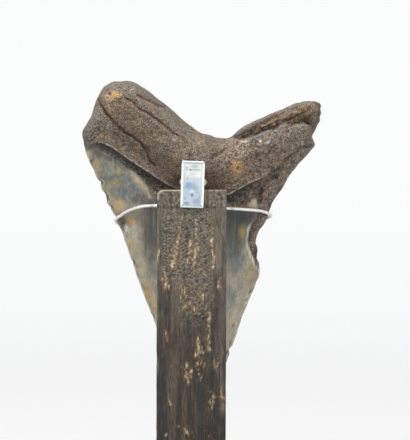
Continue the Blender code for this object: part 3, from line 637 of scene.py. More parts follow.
def lobeColors(colors, x, y, z, masks, blotch, speck):
    # the root's inner face: paler and warmer areas, a painted lighter patch beside the plate, grooves
    # with painted shade in them, the rusty trough with painted shade deep in it and a painted
    # highlight on the shelf's edge, spots and pores
    overShelf, root, level = masks["overShelf"], masks["root"], 0 * x
    rim = ramp(z - curve(lobeGroove, x), 0.4, 1.4) * ramp(x, -34, -28) * fall(x, -8, 2)
    tip = ramp(z, 209.5, 213.5) * fall(x, -24, -18)
    belowCrease = ramp(crease[0][1] + 0.62 * (x - crease[0][0]) - z, -1.0, 1.0) * ramp(x, 33, 36)
    grey = spot(x, z, 46, 189, 10, 5) + spot(x, z, 33, 190, 7, 3)
    inner = ramp(z - curve(wingGroove, x), 0.0, 2.0) * fall(z - curve(lobeGroove, x), -2.0, 1.0)
    warm = 0.6 * spot(x, z, -12, 173, 9, 6) + spot(x, z, 17, 170, 9, 4)
    shelfSide = root * ramp(x, 8, 20) * fall(overShelf, -1.5, 0.5)
    colors = blend(colors, [
        (0.65 * rim, (105, 97, 87)),
        (0.60 * tip, (116, 109, 102)),
        (0.60 * fall(x, -46, -39) * root, (116, 110, 106)),
        (0.60 * belowCrease, (98, 94, 90)),
        (0.80 * np.clip(grey, 0, 1) * root, (118, 112, 108)),
        (0.40 * inner * root * ramp(x, -37, -33) * fall(x, -14, -6), (96, 81, 64)),
        (0.35 * spot(x, z, -0.5, 184, 15, 9) * root, (138, 121, 104)),
        (0.60 * warm * root, (126, 92, 68)),
        (0.85 * spot(x, z, -7.4, 169.3, 4.5, 3.4) * root, (60, 52, 42)),
        # painted light: a lighter patch right of the plate, where the plate and post shade the root
        (0.45 * spot(x, z, 8.0, 170.5, 4.0, 5.0) * root, (150, 128, 106)),
        (0.70 * shelfSide * ramp(speck + 0.3 * blotch, -0.9, 0.5), (168, 151, 132))])

    wander = 0.5 * lumps(x, level, z, 2.6, 41)
    for line, width, share in ((wingGroove, 0.48, 1.0), (lobeGroove, 0.45, 0.9), (shortGroove, 0.45, 0.9),
                               (fold, 0.55, 0.55), (crease, 0.5, 0.7)):
        gap = distanceTo(line, x, z + wander)
        broke = 0.55 + 0.75 * lumps(x, y, z, 2.2, 107) + 0.5 * (line is wingGroove)
        # each groove: a brown halo and a dark line, painted shade in its crease, and a paler line just below
        colors = blend(colors, [
            (0.45 * bump(gap, width * 2.2), (92, 64, 40)),
            (0.40 * bump(distanceTo(line, x + 0.9, z + 0.9 + wander), 0.5), (150, 138, 124)),
            (share * bump(gap, width) * np.clip(broke, 0.25, 1.0), (40, 25, 13))])

    trough = masks["acrossTrough"] * ramp(overShelf, 0.2, 1.2)
    upper = ramp(curve(topEdge, x) - z, 0.8, 2.4)
    fibres = fibreNoise(x, z, 1.0, 109) + 0.5 * speck
    rusty = ramp(lumps(x, level, z, 2.6, 157), 0.2, 0.7) * ramp(speck, -0.3, 0.4)
    deep = bump(overShelf - 1.0, 1.1) * (0.3 + ramp(lumps(x, level, z, 3.4, 113), -0.3, 0.3))
    colors = blend(colors, [
        (0.60 * trough * upper * ramp(fibres, -0.7, 0.6), (124, 102, 72)),
        (0.90 * trough * upper * ramp(-fibres, -0.3, 0.5), (58, 44, 32)),
        (0.50 * trough * upper * rusty, (140, 104, 68)),
        (0.55 * trough * (1 - upper), (110, 108, 105)),
        # painted shade deep in the trough above the shelf
        (0.95 * trough * np.clip(deep, 0, 1), (40, 28, 18)),
        # painted highlight along the shelf's top edge
        (0.50 * bump(overShelf + 0.3, 0.45) * masks["acrossTrough"], (142, 136, 128))])

    ragged = 0.35 * lumps(x, y, z, 0.9, 111)
    for *oval, rgb, share in rootSpots:
        share = share * stain(x, z, *oval, ragged * min(1.0, oval[2]), 0.35, 1.15)
        colors = blend(colors, [(share, rgb)])
    colors = blend(colors, [(0.85 * spot(x, z, *pore, 0.48, 0.48), (40, 29, 22)) for pore in rootPores])
    return blend(colors, [(0.98 * spot(x, z, *pit, 0.7, 0.7), (52, 32, 18)) for pit in pits])


def lipColors(colors, x, z, masks, speck):
    # the root's pale lip with a painted highlight, the dark band of bare root under it with painted
    # shade and a painted shadow just under the lip, and the rubble of the broken side with painted
    # shade in its crevice
    overLedge, overBreak, root, level = masks["overLedge"], masks["overBreak"], masks["root"], 0 * x
    under = (1 - root) * (1 - masks["enamel"])
    whole = fall(x, 30, 34) * ramp(x, -44, -40)
    # painted shade in the band just below the lip
    shade = bump(overLedge + 1.5, 2.4) * fall(x, 30, 35) * ramp(x, -45, -38)
    slaty = bump(overLedge + 1.6, 1.3) * ramp(x, 10, 16) * fall(x, 31, 34)
    lip = bump(overLedge - 0.75, 0.24) * whole * np.clip(0.75 + 0.4 * lumps(x, level, z, 4.0, 155), 0, 1)
    rubble = np.maximum(under * ramp(x, 24, 32), masks["broken"])
    torn = rough(0.9 * x - 0.5 * z, level, 0.45 * (z + 0.6 * x), 2.2, 115, 3)
    crevice = bump(overBreak - 0.75, 0.55) * ramp(z, 131, 134) * fall(z, 152, 156)
    return blend(colors, [
        (under * fall(x, 24, 32) * (0.55 + 0.30 * fall(x, -26, -16)), (74, 68, 62)),
        # painted shade under the lip over the dark bare root
        (0.80 * under * shade, (50, 48, 47)),
        (0.70 * under * slaty, (60, 66, 68)),
        ((0.55 + 0.3 * ramp(x, 8, 16)) * under * ramp(speck, -0.2, 0.6), (128, 114, 100)),
        (0.35 * bump(overLedge - 2.0, 1.2) * whole, (84, 72, 60)),
        # painted shadow just under the lip's edge
        (0.75 * bump(overLedge + 0.1, 0.6) * whole, (58, 53, 50)),
        # the lip's pale line: its own pale ridge with a painted highlight from above
        (0.85 * lip * (1 - 0.7 * bump(x + 7, 4)), (166, 160, 158)),
        (0.80 * rubble, (146, 128, 114)),
        (0.85 * rubble * ramp(-torn, 0.05, 0.6), (54, 45, 38)),
        (0.50 * rubble * ramp(torn, 0.3, 0.9), (168, 152, 138)),
        # painted shade in the crevice along the break
        (0.85 * crevice, (48, 39, 32)),
        (0.80 * spot(x, z, 28.2, 155.0, 2.2, 5.0) * (1 - root), (66, 62, 46))])


def enamelColors(x, flat, z, masks, isFront):
    # mottled enamel, streaked along the crown; on the inner face also the dark middle with painted
    # shade from the post, the cutting edges with a painted highlight, the blotches, the cream border,
    # the dull band below the lip, a fine crack with a painted highlight, the broken edge's line and
    # painted shade below the wire
    mottle = rough(x, flat, 0.8 * z, 7.0, 121, 4)
    second = rough(x, flat, 0.8 * z, 2.6, 131, 3)
    fine = rough(x, flat, 0.7 * z, 0.9, 133, 2)
    streak = lumps(x, flat, 0.05 * z, 0.7, 137) + 0.6 * lumps(x, flat, 0.03 * z, 0.35, 139)
    glaze = blend(evenly(x, 172, 166, 146), [
        (0.45 * ramp(mottle, 0.05, 0.8), (194, 178, 146)),
        (0.50 * ramp(-mottle, 0.1, 0.8), (136, 141, 140)),
        (0.85 * fall(z, 114, 136) * (0.85 + 0.3 * mottle), (228, 217, 194)),
        (0.80 * ramp(z, 158, 172) * (x < 0), (124, 123, 111))])
    if isFront:
        # the dark middle beside the post: the enamel's own darker middle with painted shade from the post
        # over it
        leftShadedMiddle = ramp(x, -25.3, -18.5) * ramp(z, 130.0, 146.0)
        rightShadedMiddle = fall(x - 0.45 * (z - 140), 17.3, 24.5) * ramp(z, 130.0, 148.0)
        middle = np.clip(np.where(x < 0, leftShadedMiddle, rightShadedMiddle) * (1.0 + 0.3 * mottle), 0, 1)
        layers = [
            (0.88 * middle, (68, 67, 64)),
            (0.60 * middle * ramp(streak, 0.2, 1.0), (118, 114, 104)),
            (0.70 * middle * ramp(-streak, 0.2, 0.9), (38, 37, 36))]
        for inward in (masks["leftInward"], masks["rightInward"]):
            layers += [
                (0.60 * bump(inward - 1.6, 1.4) * ramp(fine, -0.4, 0.5), (168, 142, 110)),
                # the pale line right on each cutting edge is a painted highlight
                (0.90 * bump(inward - 0.1, 0.7) * ramp(second, -0.8, 0.2), (236, 228, 208)),
                (0.85 * bump(inward - 1.0, 0.9) * ramp(-fine, 0.25, 0.6), (76, 60, 46))]
        warp = 0.35 * rough(x, flat, z, 2.2, 141, 2)
        for *oval, tone, share in enamelBlotches:
            layers.append((share * stain(x, z, *oval, warp, 0.25, 1.45), fossilTones[tone]))
        cream = bump(distanceTo(creamLine, x + warp, z), 1.0) * np.clip(0.85 + 0.5 * second, 0, 1)
        dull = bump(np.maximum(masks["underEnamel"] + 0.6, 0), 2.6) * fall(x, -30, -22)
        brokenEdge = bump(masks["overBreak"] + 0.32, 0.34) * ramp(z, 129.5, 131) * fall(z, 151.0, 153.5)
        rust = bump(masks["underEnamel"] - 0.25, 0.45) * ramp(x, 8, 14) * fall(x, 22, 25)
        glaze = blend(glaze, layers + [
            (0.85 * cream, (198, 180, 146)),
            (0.90 * dull * (0.9 + 0.6 * second), (64, 64, 62)),
            # a fine crack on the left: its dark line, and below it a pale line that is a painted highlight
            (0.70 * bump(x + 35.8, 0.25) * ramp(z, 177, 180), (62, 58, 52)),
            (0.70 * bump(x + 35.2, 0.28) * ramp(z, 173, 177), (184, 186, 184)),
            (brokenEdge, (255, 248, 230)),
            # painted shade below the wire, beside the post
            (0.85 * bump(z - 155.0, 5.0) * ramp(x, 12, 14) * fall(x, 25, 30), (44, 47, 45)),
            (0.90 * rust, (156, 108, 74))])
        streak = streak * (0.2 + 0.8 * ramp(middle, 0.0, 0.5))
        calm = 1 - 0.8 * middle
    else:
        broad = rough(x, flat, 0.6 * z, 16.0, 151, 3)
        glaze = blend(glaze, [
            (0.55 * ramp(broad, 0.0, 0.8), fossilTones["ochre"]),
            (0.70 * ramp(-broad, 0.0, 0.8), fossilTones["slate"]),
            (0.45 * ramp(z, 150, 172), fossilTones["grey"])])
        calm = 1.0
    return blend(glaze, [
        (calm * 0.22 * ramp(second, 0.15, 0.8), (206, 190, 156)),
        (calm * 0.25 * ramp(-second, 0.15, 0.8), (104, 106, 102)),
        (calm * 0.18 * ramp(fine, 0.1, 0.7), (206, 198, 176)),
        (0.22 * ramp(-fine, 0.1, 0.7), (80, 74, 64)),
        (0.20 * ramp(streak, 0.2, 1.0), (168, 162, 146)),
        (0.25 * ramp(-streak, 0.2, 1.0), (78, 77, 74))])


def toothColors(points, masks, isFront):
    # linear colour and gloss of each corner: bare root first, then the enamel drawn over it as a veil
    # that is soft on the inner face's left, then the chips, each with a painted highlight on its rim,
    # and the specks of the cutting edges
    x, y, z = points[..., 0], points[..., 1], points[..., 2]
    flat = 0 * x + (0 if isFront else 50)            # the two faces take their noise at other depths
    blotch, cool = rough(x, y, z, 11.0, 101, 3), rough(x, y, z, 6.0, 153, 3)
    speck = rough(x, y, z, 1.0, 103, 2)
    colors = blend(evenly(x, 114, 101, 86), [
        (0.70 * ramp(blotch, 0.0, 0.9), (122, 112, 98)),
        (0.70 * ramp(-blotch, 0.1, 0.9), (98, 86, 72)),
        (0.40 * ramp(rough(x, y, z, 5.0, 105, 2), 0.2, 0.8), (124, 102, 76)),
        (0.40 * ramp(speck, 0.15, 0.7), (158, 143, 122)),
        (0.55 * ramp(-speck, 0.15, 0.7), (62, 51, 40)),
        (0.45 * ramp(cool, 0.1, 0.7), (116, 109, 105)),
        (0.45 * ramp(-cool, 0.15, 0.7) * ramp(speck, -0.2, 0.4), (140, 108, 78))])
    if isFront:
        colors = lobeColors(colors, x, y, z, masks, blotch, speck)
        colors = lipColors(colors, x, z, masks, speck)
    else:
        colors = blend(colors, [(0.6 * bump(masks["underEnamel"] + 1.4, 1.4), (72, 66, 60))])
    veil = masks["underEnamel"] + 0.9 * lumps(x, flat, z, 2.2, 143) + 0.5 * speck
    soft = 1.2 * fall(x, -32, -26) * isFront
    veil = (ramp(veil, -0.9 - soft, 1.7 + soft) * (1 - masks.get("broken", 0.0)))[..., None]
    colors = colors * (1 - veil) + enamelColors(x, flat, z, masks, isFront) * veil
    gloss = masks["enamel"]
    if isFront:
        chip = masks["chips"]
        colors = blend(colors, [
            # each chip: a pale rim, a painted highlight, round a dark hollow
            (0.80 * ramp(chip, 0.06, 0.2) * fall(chip, 0.3, 0.5), (206, 196, 176)),
            (0.95 * ramp(chip, 0.22, 0.45), (62, 48, 38))])
        for speckX, speckZ, halfSize, tone in edgeSpecks:
            colors = blend(colors, [(spot(x, z, speckX, speckZ, halfSize, halfSize), speckTones[tone])])
        glossy = (1 - masks["root"]) * fall(x, -30, -24) * ramp(masks["underEnamel"], -4.5, -0.5)
        gloss = np.maximum(gloss, 0.9 * glossy)
        for pit in pits:
            gloss = np.maximum(gloss, 0.6 * spot(x, z, *pit, 2.4, 2.4))
    return colors, gloss


def toothMaterial():
    # the tint times fine grain and pinholes, which fade out as the gloss rises, while the surface
    # gets smoother and flatter
    material, shade, add, spread, noise = newMaterial("fossil")
    tint = add("ShaderNodeAttribute", "Color", attribute_name="tint")
    gloss = add("ShaderNodeAttribute", "Fac", attribute_name="gloss")
    place = add("ShaderNodeTexCoord", "Object")
    pores = add("ShaderNodeTexVoronoi", "Distance", {"Vector": place, "Scale": 1000.0})
    grain = spread(noise(place, 1500.0, 2.0, 0.7), 0.18, 1.95, 0.3, 0.7)
    hole = spread(pores, 0.40, 1.08, 0.15, 0.40)
    both = add("ShaderNodeMath", 0, {0: grain, 1: hole}, operation="MULTIPLY")
    fade = add("ShaderNodeMix", 0, {"Factor": spread(gloss, 0.0, 0.80), "A": both, "B": 1.0})
    color = add("ShaderNodeVectorMath", "Vector", {0: tint, "Scale": fade}, operation="SCALE")
    relief = add("ShaderNodeBump", "Normal", {"Height": both, "Strength": spread(gloss, 0.6, 0.03),
                                              "Distance": 0.0003})
    shade({"Base Color": color, "Roughness": spread(gloss, 0.78, 0.30), "Normal": relief})
    return material


postShape = {"width": 30.2, "back": -21.0, "front": -12.5, "foot": 8.3, "top": 166.8, "lean": 0.0033,
             "leftCorner": 2.8, "rightCorner": 0.6, "rounded": 3.2, "arris": 0.45, "arrisWear": 0.30,
             "slot": (157.6, 161.2), "slotDepth": 1.9, "kerf": 159.0, "kerfDepth": 0.16,
             "curlHeight": 0.10, "strokeHeight": 0.07, "fineFrom": 54.0}
flecks = [  # x, z, half length, half width, sideways drift per millimetre of height, brightness
    (-4.4, 154.5, 2.4, 0.32, 0.0, 0.45), (-6.1, 144.6, 2.2, 0.34, 0.15, 0.8),
    (-7.6, 139.0, 4.0, 0.5, 0.28, 0.55), (-8.6, 134.4, 2.0, 0.55, 0.25, 0.95),
    (1.8, 152.6, 1.9, 0.34, 0.0, 0.95), (1.6, 148.0, 2.2, 0.3, 0.0, 0.4),
    (-1.0, 143.0, 2.1, 0.42, 0.05, 0.85), (-1.7, 136.4, 1.4, 0.4, 0.05, 0.8),
    (2.0, 141.6, 1.8, 0.55, 0.1, 0.75), (0.9, 136.0, 1.7, 0.6, 0.05, 0.95),
    (8.5, 149.5, 3.4, 0.6, 0.0, 0.45), (8.3, 144.0, 2.4, 0.32, 0.0, 0.75),
    (9.3, 138.6, 2.0, 0.42, -0.05, 0.95), (-14.4, 155.6, 1.9, 0.3, 0.0, 0.7),
    (-14.5, 140.5, 2.6, 0.3, 0.0, 0.85), (-12.0, 130.5, 2.0, 0.5, -0.2, 0.6),
    (-12.6, 127.8, 0.7, 0.5, 0.0, 0.9), (-11.2, 126.0, 2.0, 0.6, 0.2, 0.55),
    (11.9, 126.6, 2.2, 0.45, 0.08, 0.85), (-4.6, 122.4, 2.0, 0.45, 0.0, 0.55),
    (-0.3, 123.2, 1.3, 0.4, 0.0, 0.75), (4.9, 121.2, 0.9, 0.6, 0.0, 0.85),
    (-3.2, 115.8, 1.0, 0.5, 0.0, 0.7), (1.1, 115.0, 1.4, 0.5, 0.0, 0.7),
    (7.6, 111.8, 1.9, 0.55, 0.0, 0.95), (7.5, 103.4, 1.3, 0.42, 0.0, 0.8),
    (7.4, 97.7, 0.8, 0.4, 0.0, 0.7), (2.9, 102.2, 0.8, 0.42, 0.0, 0.75), (2.9, 98.0, 1.5, 0.45, 0.0, 0.9),
    (1.7, 94.8, 0.8, 0.45, 0.0, 0.8), (3.9, 91.8, 1.2, 0.35, 0.0, 0.8), (2.1, 91.0, 0.7, 0.35, 0.0, 0.8),
    (-11.3, 104.0, 2.2, 0.5, 0.0, 0.4), (-2.2, 90.3, 1.1, 0.34, 0.0, 0.7),
    (-0.4, 87.9, 0.7, 0.4, 0.0, 0.8), (-2.6, 86.0, 1.2, 0.6, 0.3, 0.7),
    (-1.4, 83.4, 1.1, 0.36, 0.0, 0.75), (4.0, 84.7, 1.0, 0.4, 0.0, 0.75),
    (9.1, 76.6, 1.0, 0.4, 0.0, 0.85), (8.7, 73.9, 1.2, 0.4, 0.0, 0.85), (12.8, 77.8, 2.0, 0.45, 0.0, 0.6),
    (13.6, 72.4, 1.4, 0.35, 0.0, 0.55), (-9.9, 75.4, 1.6, 0.4, -0.1, 0.65),
    (-6.0, 63.8, 0.8, 0.4, 0.0, 0.6), (-2.3, 61.6, 0.9, 0.4, -0.2, 0.6), (-11.5, 60.3, 0.7, 0.4, 0.0, 0.7)]


def boardRing(count, width, depth, radius):
    # a rectangle with round corners, anticlockwise seen from above from the left end of its -Y side:
    # four times a straight side and a quarter circle, with the points spaced evenly by length
    half, deep = width / 2 - radius, depth / 2 - radius
    lengths = np.array([2 * half, radius * math.pi / 2, 2 * deep, radius * math.pi / 2] * 2)
    ends = np.concatenate([[0.0], np.cumsum(lengths)])
    s = (np.arange(count) + 0.5) / count * ends[-1]
    k = np.clip(np.searchsorted(ends, s, side="right") - 1, 0, 7)
    t = (s - ends[k]) / lengths[k]
    centres = np.array([(half, -deep), (half, deep), (-half, deep), (-half, -deep)])
    outward = np.array([(0, -1), (1, 0), (0, 1), (-1, 0)])[k // 2]
    centre, before = centres[k // 2], centres[k // 2 - 1]
    straight = before + (centre - before) * t[:, None] + radius * outward
    angle = np.radians(90 * (k // 2) - 90 + 90 * t)
    corner = centre + radius * np.stack([np.cos(angle), np.sin(angle)], axis=-1)
    return np.where(k[:, None] % 2 == 0, straight, corner).T


def onBack(y):
    # 1 on the post's back, which faces the camera, 0 elsewhere
    return fall(y, postShape["back"] + 0.5, postShape["back"] + 1.5)


def makePost():
    # a rounded rectangle carried up Z by rows that crowd in the seen part and round off the top; it
    # leans, its top corners and the slot pull it in, and its four sides carry the grain's relief
    shape = postShape
    depth, half = shape["front"] - shape["back"], shape["width"] / 2
    ringX, ringY = boardRing(216, shape["width"], depth, shape["arris"])
    rounded, fineFrom = shape["rounded"], shape["fineFrom"]
    heights = np.concatenate([
        np.linspace(shape["foot"], fineFrom, 50)[:-1],
        np.linspace(fineFrom, shape["top"] - rounded, 310)[:-1],
        shape["top"] - rounded * (1 - np.sin(np.linspace(0, math.pi / 2, 16)))])
    middle = (shape["front"] + shape["back"]) / 2
    x, y, z = np.broadcast_arrays(ringX, ringY + middle, heights[:, None])
    for side, radius in ((-1, shape["leftCorner"]), (1, shape["rightCorner"])):
        over = np.clip(z - (shape["top"] - radius), 0, radius)
        pull = radius - np.sqrt(np.maximum(radius ** 2 - over ** 2, 0))
        x = np.where(side * x > 0, x * (half - pull) / half, x)
    y = y + ramp(z, shape["top"] - 0.5, shape["top"]) * 0.25 * np.sign(-ringY)
    x = x - shape["lean"] * (shape["top"] - z) - 0.1
    slotLow, slotHigh = shape["slot"]
    slot = ramp(z, slotLow - 0.2, slotLow + 0.2) * fall(z, slotHigh - 0.2, slotHigh + 0.2)
    squeeze = 1 - shape["slotDepth"] * slot / (shape["front"] - middle)
    y = np.where(y > middle, middle + (y - middle) * squeeze, y)

    # worn wood: long grain grooves, a fine herringbone of tool marks, and the kerf line
    grain = 0.08 * lumps(x, y, 0.06 * z, 0.8, 201) + 0.05 * lumps(x, y, 0.05 * z, 0.4, 203)
    worn = 0.12 * rough(x, y, 0.25 * z, 2.4, 205, 3)
    curled, zigzag, area = curledGrain(x, y, z)
    tooled = shape["curlHeight"] * curled + shape["strokeHeight"] * zigzag
    kerf = -shape["kerfDepth"] * bump(z - shape["kerf"], 0.35) * (y < shape["back"] + 1)
    arris = ramp(np.abs(ringX), half - 1.4, half) * ramp(lumps(x, y, 0.3 * z, 2.0, 209), 0.0, 0.8)
    relief = (grain + worn * 0.6 + tooled + kerf) * ramp(shape["top"] - z, 0.0, 1.0)
    relief = relief - shape["arrisWear"] * arris
    x = x + relief * np.where(np.abs(ringX) > half - 0.3, np.sign(ringX), 0.0)
    y = y + relief * np.where(np.abs(ringY) > depth / 2 - 0.3, np.sign(ringY), 0.0)
    post = closedRings("standPost", np.stack([x, y, z], axis=-1))
    paint(post, "tint", woodColors(x, y, z).reshape(-1, 3))
    paint(post, "curl", area.ravel())
    post.data.set_sharp_from_angle(angle=math.radians(50))
    print("post:", len(post.data.polygons), "faces")
    return finishPiece(post, woodMaterial("post wood"), "post")


woodLines = [  # corners (x, z) from the top down, half width, brightness
    ([(-4.6, 156.1), (-5.0, 148.0), (-6.0, 145.4)], 0.45, 0.42),
    ([(-6.0, 145.6), (-7.1, 141.9), (-7.8, 136.7), (-8.6, 133.8)], 1.25, 0.60),
    ([(2.0, 153.9), (1.8, 151.0), (1.7, 146.0)], 0.45, 0.6),
    ([(8.8, 155.8), (8.8, 150.0), (8.3, 146.0)], 0.6, 0.4), ([(8.5, 147.0), (8.3, 142.0)], 0.7, 0.75),
    ([(9.3, 140.6), (9.4, 136.6), (9.2, 133.0)], 0.75, 0.7),
    ([(-0.6, 144.8), (-1.0, 141.0), (-1.8, 135.6)], 1.0, 0.6),
    ([(2.6, 142.8), (2.0, 139.6), (1.0, 136.8), (0.7, 134.6)], 1.2, 0.72),
    ([(-4.8, 125.6), (-4.7, 118.0)], 0.5, 0.45), ([(12.0, 128.6), (11.6, 124.8)], 0.6, 0.75),
    ([(7.6, 113.6), (7.3, 109.0), (7.5, 103.0), (7.6, 97.0)], 0.7, 0.6),
    ([(2.8, 104.0), (2.6, 98.0), (1.9, 94.0)], 0.9, 0.5), ([(-11.2, 106.0), (-10.9, 101.0)], 0.5, 0.35),
    ([(-10.4, 77.6), (-9.5, 73.6)], 0.6, 0.5), ([(12.6, 81.0), (13.2, 76.0)], 0.5, 0.5),
    ([(-3.0, 63.0), (-1.6, 60.4)], 0.4, 0.5)]
woodClusters = [  # where torn specks crowd: x, z, half width, half height, share
    (-9.0, 134.0, 3.0, 5.0, 0.6), (-10.5, 126.5, 2.2, 3.5, 0.9), (0.5, 129.0, 7.0, 7.0, 0.55),
    (2.0, 119.0, 6.5, 6.0, 0.7), (0.6, 139.5, 3.0, 5.0, 0.6), (3.2, 96.0, 2.6, 5.0, 0.7),
    (-2.6, 86.5, 2.8, 4.0, 0.75), (4.5, 88.5, 3.0, 4.0, 0.7), (8.6, 75.0, 1.8, 4.5, 0.65),
    (12.6, 77.0, 1.8, 6.0, 0.8), (11.5, 92.0, 2.6, 5.0, 0.6), (-10.0, 75.0, 1.6, 4.0, 0.5),
    (-2.0, 61.0, 3.0, 3.0, 0.4), (8.0, 60.5, 3.0, 2.0, 0.5)]
darkBands = [  # x, half width, z low, z high, colour
    (-13.0, 1.9, 30.0, 98.0, (48, 53, 54)), (2.6, 1.3, 60.0, 90.0, (48, 54, 54)),
    (9.6, 1.5, 60.0, 112.0, (50, 51, 50)), (-10.0, 1.2, 106.0, 124.0, (72, 68, 66)),
    (5.0, 4.0, 62.0, 78.0, (70, 61, 59)), (-7.0, 1.6, 40.0, 70.0, (64, 62, 58)),
    (-10.2, 1.9, 96.0, 132.0, (58, 51, 48)), (10.9, 1.7, 96.0, 134.0, (64, 57, 53)),
    (-4.0, 1.4, 92.0, 112.0, (66, 62, 58)), (13.4, 0.9, 66.0, 120.0, (104, 98, 90)),
    (12.4, 3.0, 40.0, 72.0, (50, 47, 44)), (2.6, 2.0, 34.0, 66.0, (60, 54, 52)),
    (-8.8, 1.6, 50.0, 100.0, (92, 80, 70)), (-3.6, 1.0, 50.0, 84.0, (94, 82, 70))]


def paleFibres(x, y, z):
    # how much torn pale fibre shows: flecks and lines, crumbs in the clusters, and a thin scatter
    pale, clusters = np.zeros(x.shape), 0.0
    sway = 0.30 * lumps(x, y, 0.5 * z, 0.9, 243)
    for fleckX, fleckZ, halfLength, halfWidth, drift, strength in flecks:
        dz = z - fleckZ
        dx = x - fleckX - drift * dz + sway
        shrink = (np.abs(dx) / (1.5 * halfWidth)) ** 2 + (np.abs(dz) / (1.3 * halfLength)) ** 2.4
        pale = np.maximum(pale, strength * np.exp(-shrink))
    for line, halfWidth, strength in woodLines:
        pale = np.maximum(pale, strength * bump(distanceTo(line, x + sway, z), 1.2 * halfWidth))
    near = ramp(pale, 0.1, 0.4) * onBack(y)
    for *oval, share in woodClusters:
        clusters = np.maximum(clusters, share * spot(x, z, *oval))
    crumbs = ramp(lumps(x, y, 0.30 * z, 0.36, 247) + 0.6 * lumps(x, y, 0.3 * z, 0.8, 249), 0.05, 0.7)
    torn = 0.9 + 0.8 * lumps(x, y, 0.6 * z, 0.5, 231) + 0.4 * lumps(x, y, 0.3 * z, 1.2, 232)
    scatter = ramp(lumps(x, y, 0.4 * z, 0.8, 233) + 0.6 * lumps(x, y, 0.2 * z, 3.0, 235), 0.55, 1.1)
    region = ramp(lumps(x, y, 0.3 * z, 6.0, 237), -0.2, 0.6) * (0.4 + 0.4 * ramp(z, 80, 130))
    pale = np.maximum(pale, clusters * crumbs) * onBack(y) * np.clip(torn, 0.2, 1.4)
    return np.clip(pale + 0.75 * scatter * region, 0, 1), near


def woodColors(x, y, z):
    # rough dark wood: long streaks, short curled grain higher up, bands that darken downwards, and
    # pale torn fibres with a rusty rim, each softened by noise; lighter at the top and darker towards
    # the bottom, partly as painted fall-off of the light from above; worn pale edges and the top edge
    # with a painted highlight, and painted shade in the kerf
    shape = postShape
    back, upper, half = onBack(y), ramp(z, 80, 130), shape["width"] / 2
    streak = lumps(x, y, 0.05 * z, 1.7, 221) + 0.7 * lumps(x, y, 0.07 * z, 0.7, 223)
    fine = lumps(x, y, 0.15 * z, 0.45, 225)
    curled, zigzag = curledGrain(x, y, z)[:2]
    speckled = lumps(x, y, 0.8 * z, 0.7, 261)
    above = back * ramp(z, 157, 160)
    sway = 0.8 * lumps(x, y, 0.1 * z, 3.0, 227)
    # lighter at the top and darker towards the bottom, partly painted fall-off of the light from above
    colors = blend(evenly(x, 71, 64, 55), [
        (0.95 * ramp(z, 98, 136), (116, 109, 98)),
        (0.90 * fall(z, 62, 104), (44, 39, 34))])
    for bandX, halfWidth, low, high, rgb in darkBands:
        band = back * bump(x - bandX + sway, halfWidth) * ramp(z, low, low + 6) * fall(z, high - 8, high)
        colors = blend(colors, [(0.9 * band, rgb)])
    colors = blend(colors, [
        (0.50 * ramp(streak, 0.1, 1.1) * (0.5 + 0.5 * upper), (126, 112, 96)),
        (0.65 * ramp(-streak, 0.1, 1.1), (54, 51, 47)),
        (0.35 * ramp(fine, 0.2, 0.9) * (0.4 + 0.6 * upper), (144, 128, 110)),
        (0.55 * ramp(-fine, 0.2, 0.9), (46, 42, 38)),
        (0.60 * ramp(curled, 0.15, 0.9), (160, 148, 130)),
        (0.70 * ramp(-curled, 0.1, 0.8), (48, 43, 38)),
        (0.55 * ramp(zigzag, 0.1, 0.9), (156, 146, 130)),
        (0.65 * ramp(-zigzag, 0.1, 0.9), (54, 49, 44)),
        (0.45 * above * ramp(-streak, 0.0, 0.8), (66, 62, 58)),
        (0.60 * above * ramp(speckled, 0.1, 0.7), (154, 146, 134)),
        (0.60 * above * ramp(-speckled, 0.1, 0.7), (56, 52, 48))])

    pale, nearPale = paleFibres(x, y, z)
    nicked = ramp(lumps(x, y, 0.5 * z, 0.6, 263), 0.1, 0.7)
    edge = ramp(np.abs(x), half - 0.9, half - 0.2) * ramp(lumps(x, y, 0.2 * z, 2.0, 241), -0.2, 0.6)
    across, up = x + half - shape["leftCorner"], z - shape["top"] + shape["leftCorner"]
    corner = (across < 0) * (up > -1.5) * ramp(np.hypot(across, np.maximum(up, 0)), 1.6, 2.3)
    topEdgeHighlight = ramp(z, shape["top"] - 1.0, shape["top"] - 0.3) * (0.25 + 0.55 * fall(x, -9, 3))
    return blend(colors, [
        (0.65 * ramp(pale, 0.03, 0.35), (132, 104, 72)),
        (0.95 * ramp(pale, 0.22, 1.0), (218, 202, 174)),
        (0.60 * nearPale * nicked, (78, 60, 44)),
        # pale side edges: worn wood with a painted highlight
        (0.45 * edge, (150, 142, 130)),
        # painted highlight along the top edge and round the top left corner
        (np.maximum(topEdgeHighlight, 0.9 * corner) * back, (182, 172, 154)),
        # painted shade in the kerf
        (0.50 * bump(z - shape["kerf"], 0.4) * back, (62, 56, 52))])


def curledGrain(x, y, z):
    # short curls: small lumps inside one area; and rows of slanting strokes, a sine of height plus a
    # triangle wave across, broken up by noise; the third value says how curled the fine grain is
    kerf, back = postShape["kerf"], onBack(y)
    wide = ramp(x, -14.0, -12.5) * fall(x, 8.0, 10.0) * ramp(z, 124, 131)
    narrow = bump(x - 1.5, 9.0) * ramp(z, 102, 112) * fall(z, 124, 131)
    area = back * fall(z, kerf - 1.0, kerf) * np.clip(wide + narrow, 0, 1)
    curled = (lumps(x, y, 1.3 * z, 0.75, 251) + 0.8 * lumps(x, y, 1.2 * z, 0.45, 253)) * area
    bent = x + 0.9 * lumps(x, y, z, 3.5, 257)
    slant = np.abs(((bent + 15.0) / 2.6) % 2 - 1) * 2.6
    strokes = np.sin(2 * math.pi * (z + 0.6 * slant + 0.35 * lumps(x, y, z, 2.0, 259)) / 1.3)
    strokes = strokes * np.clip(0.35 + 0.9 * lumps(x, y, z, 1.3, 255), 0, 1)
    area = np.maximum(area, 0.7 * back * ramp(z, kerf, kerf + 1.0))
    return curled, strokes * area * ramp(z, 130, 138), area


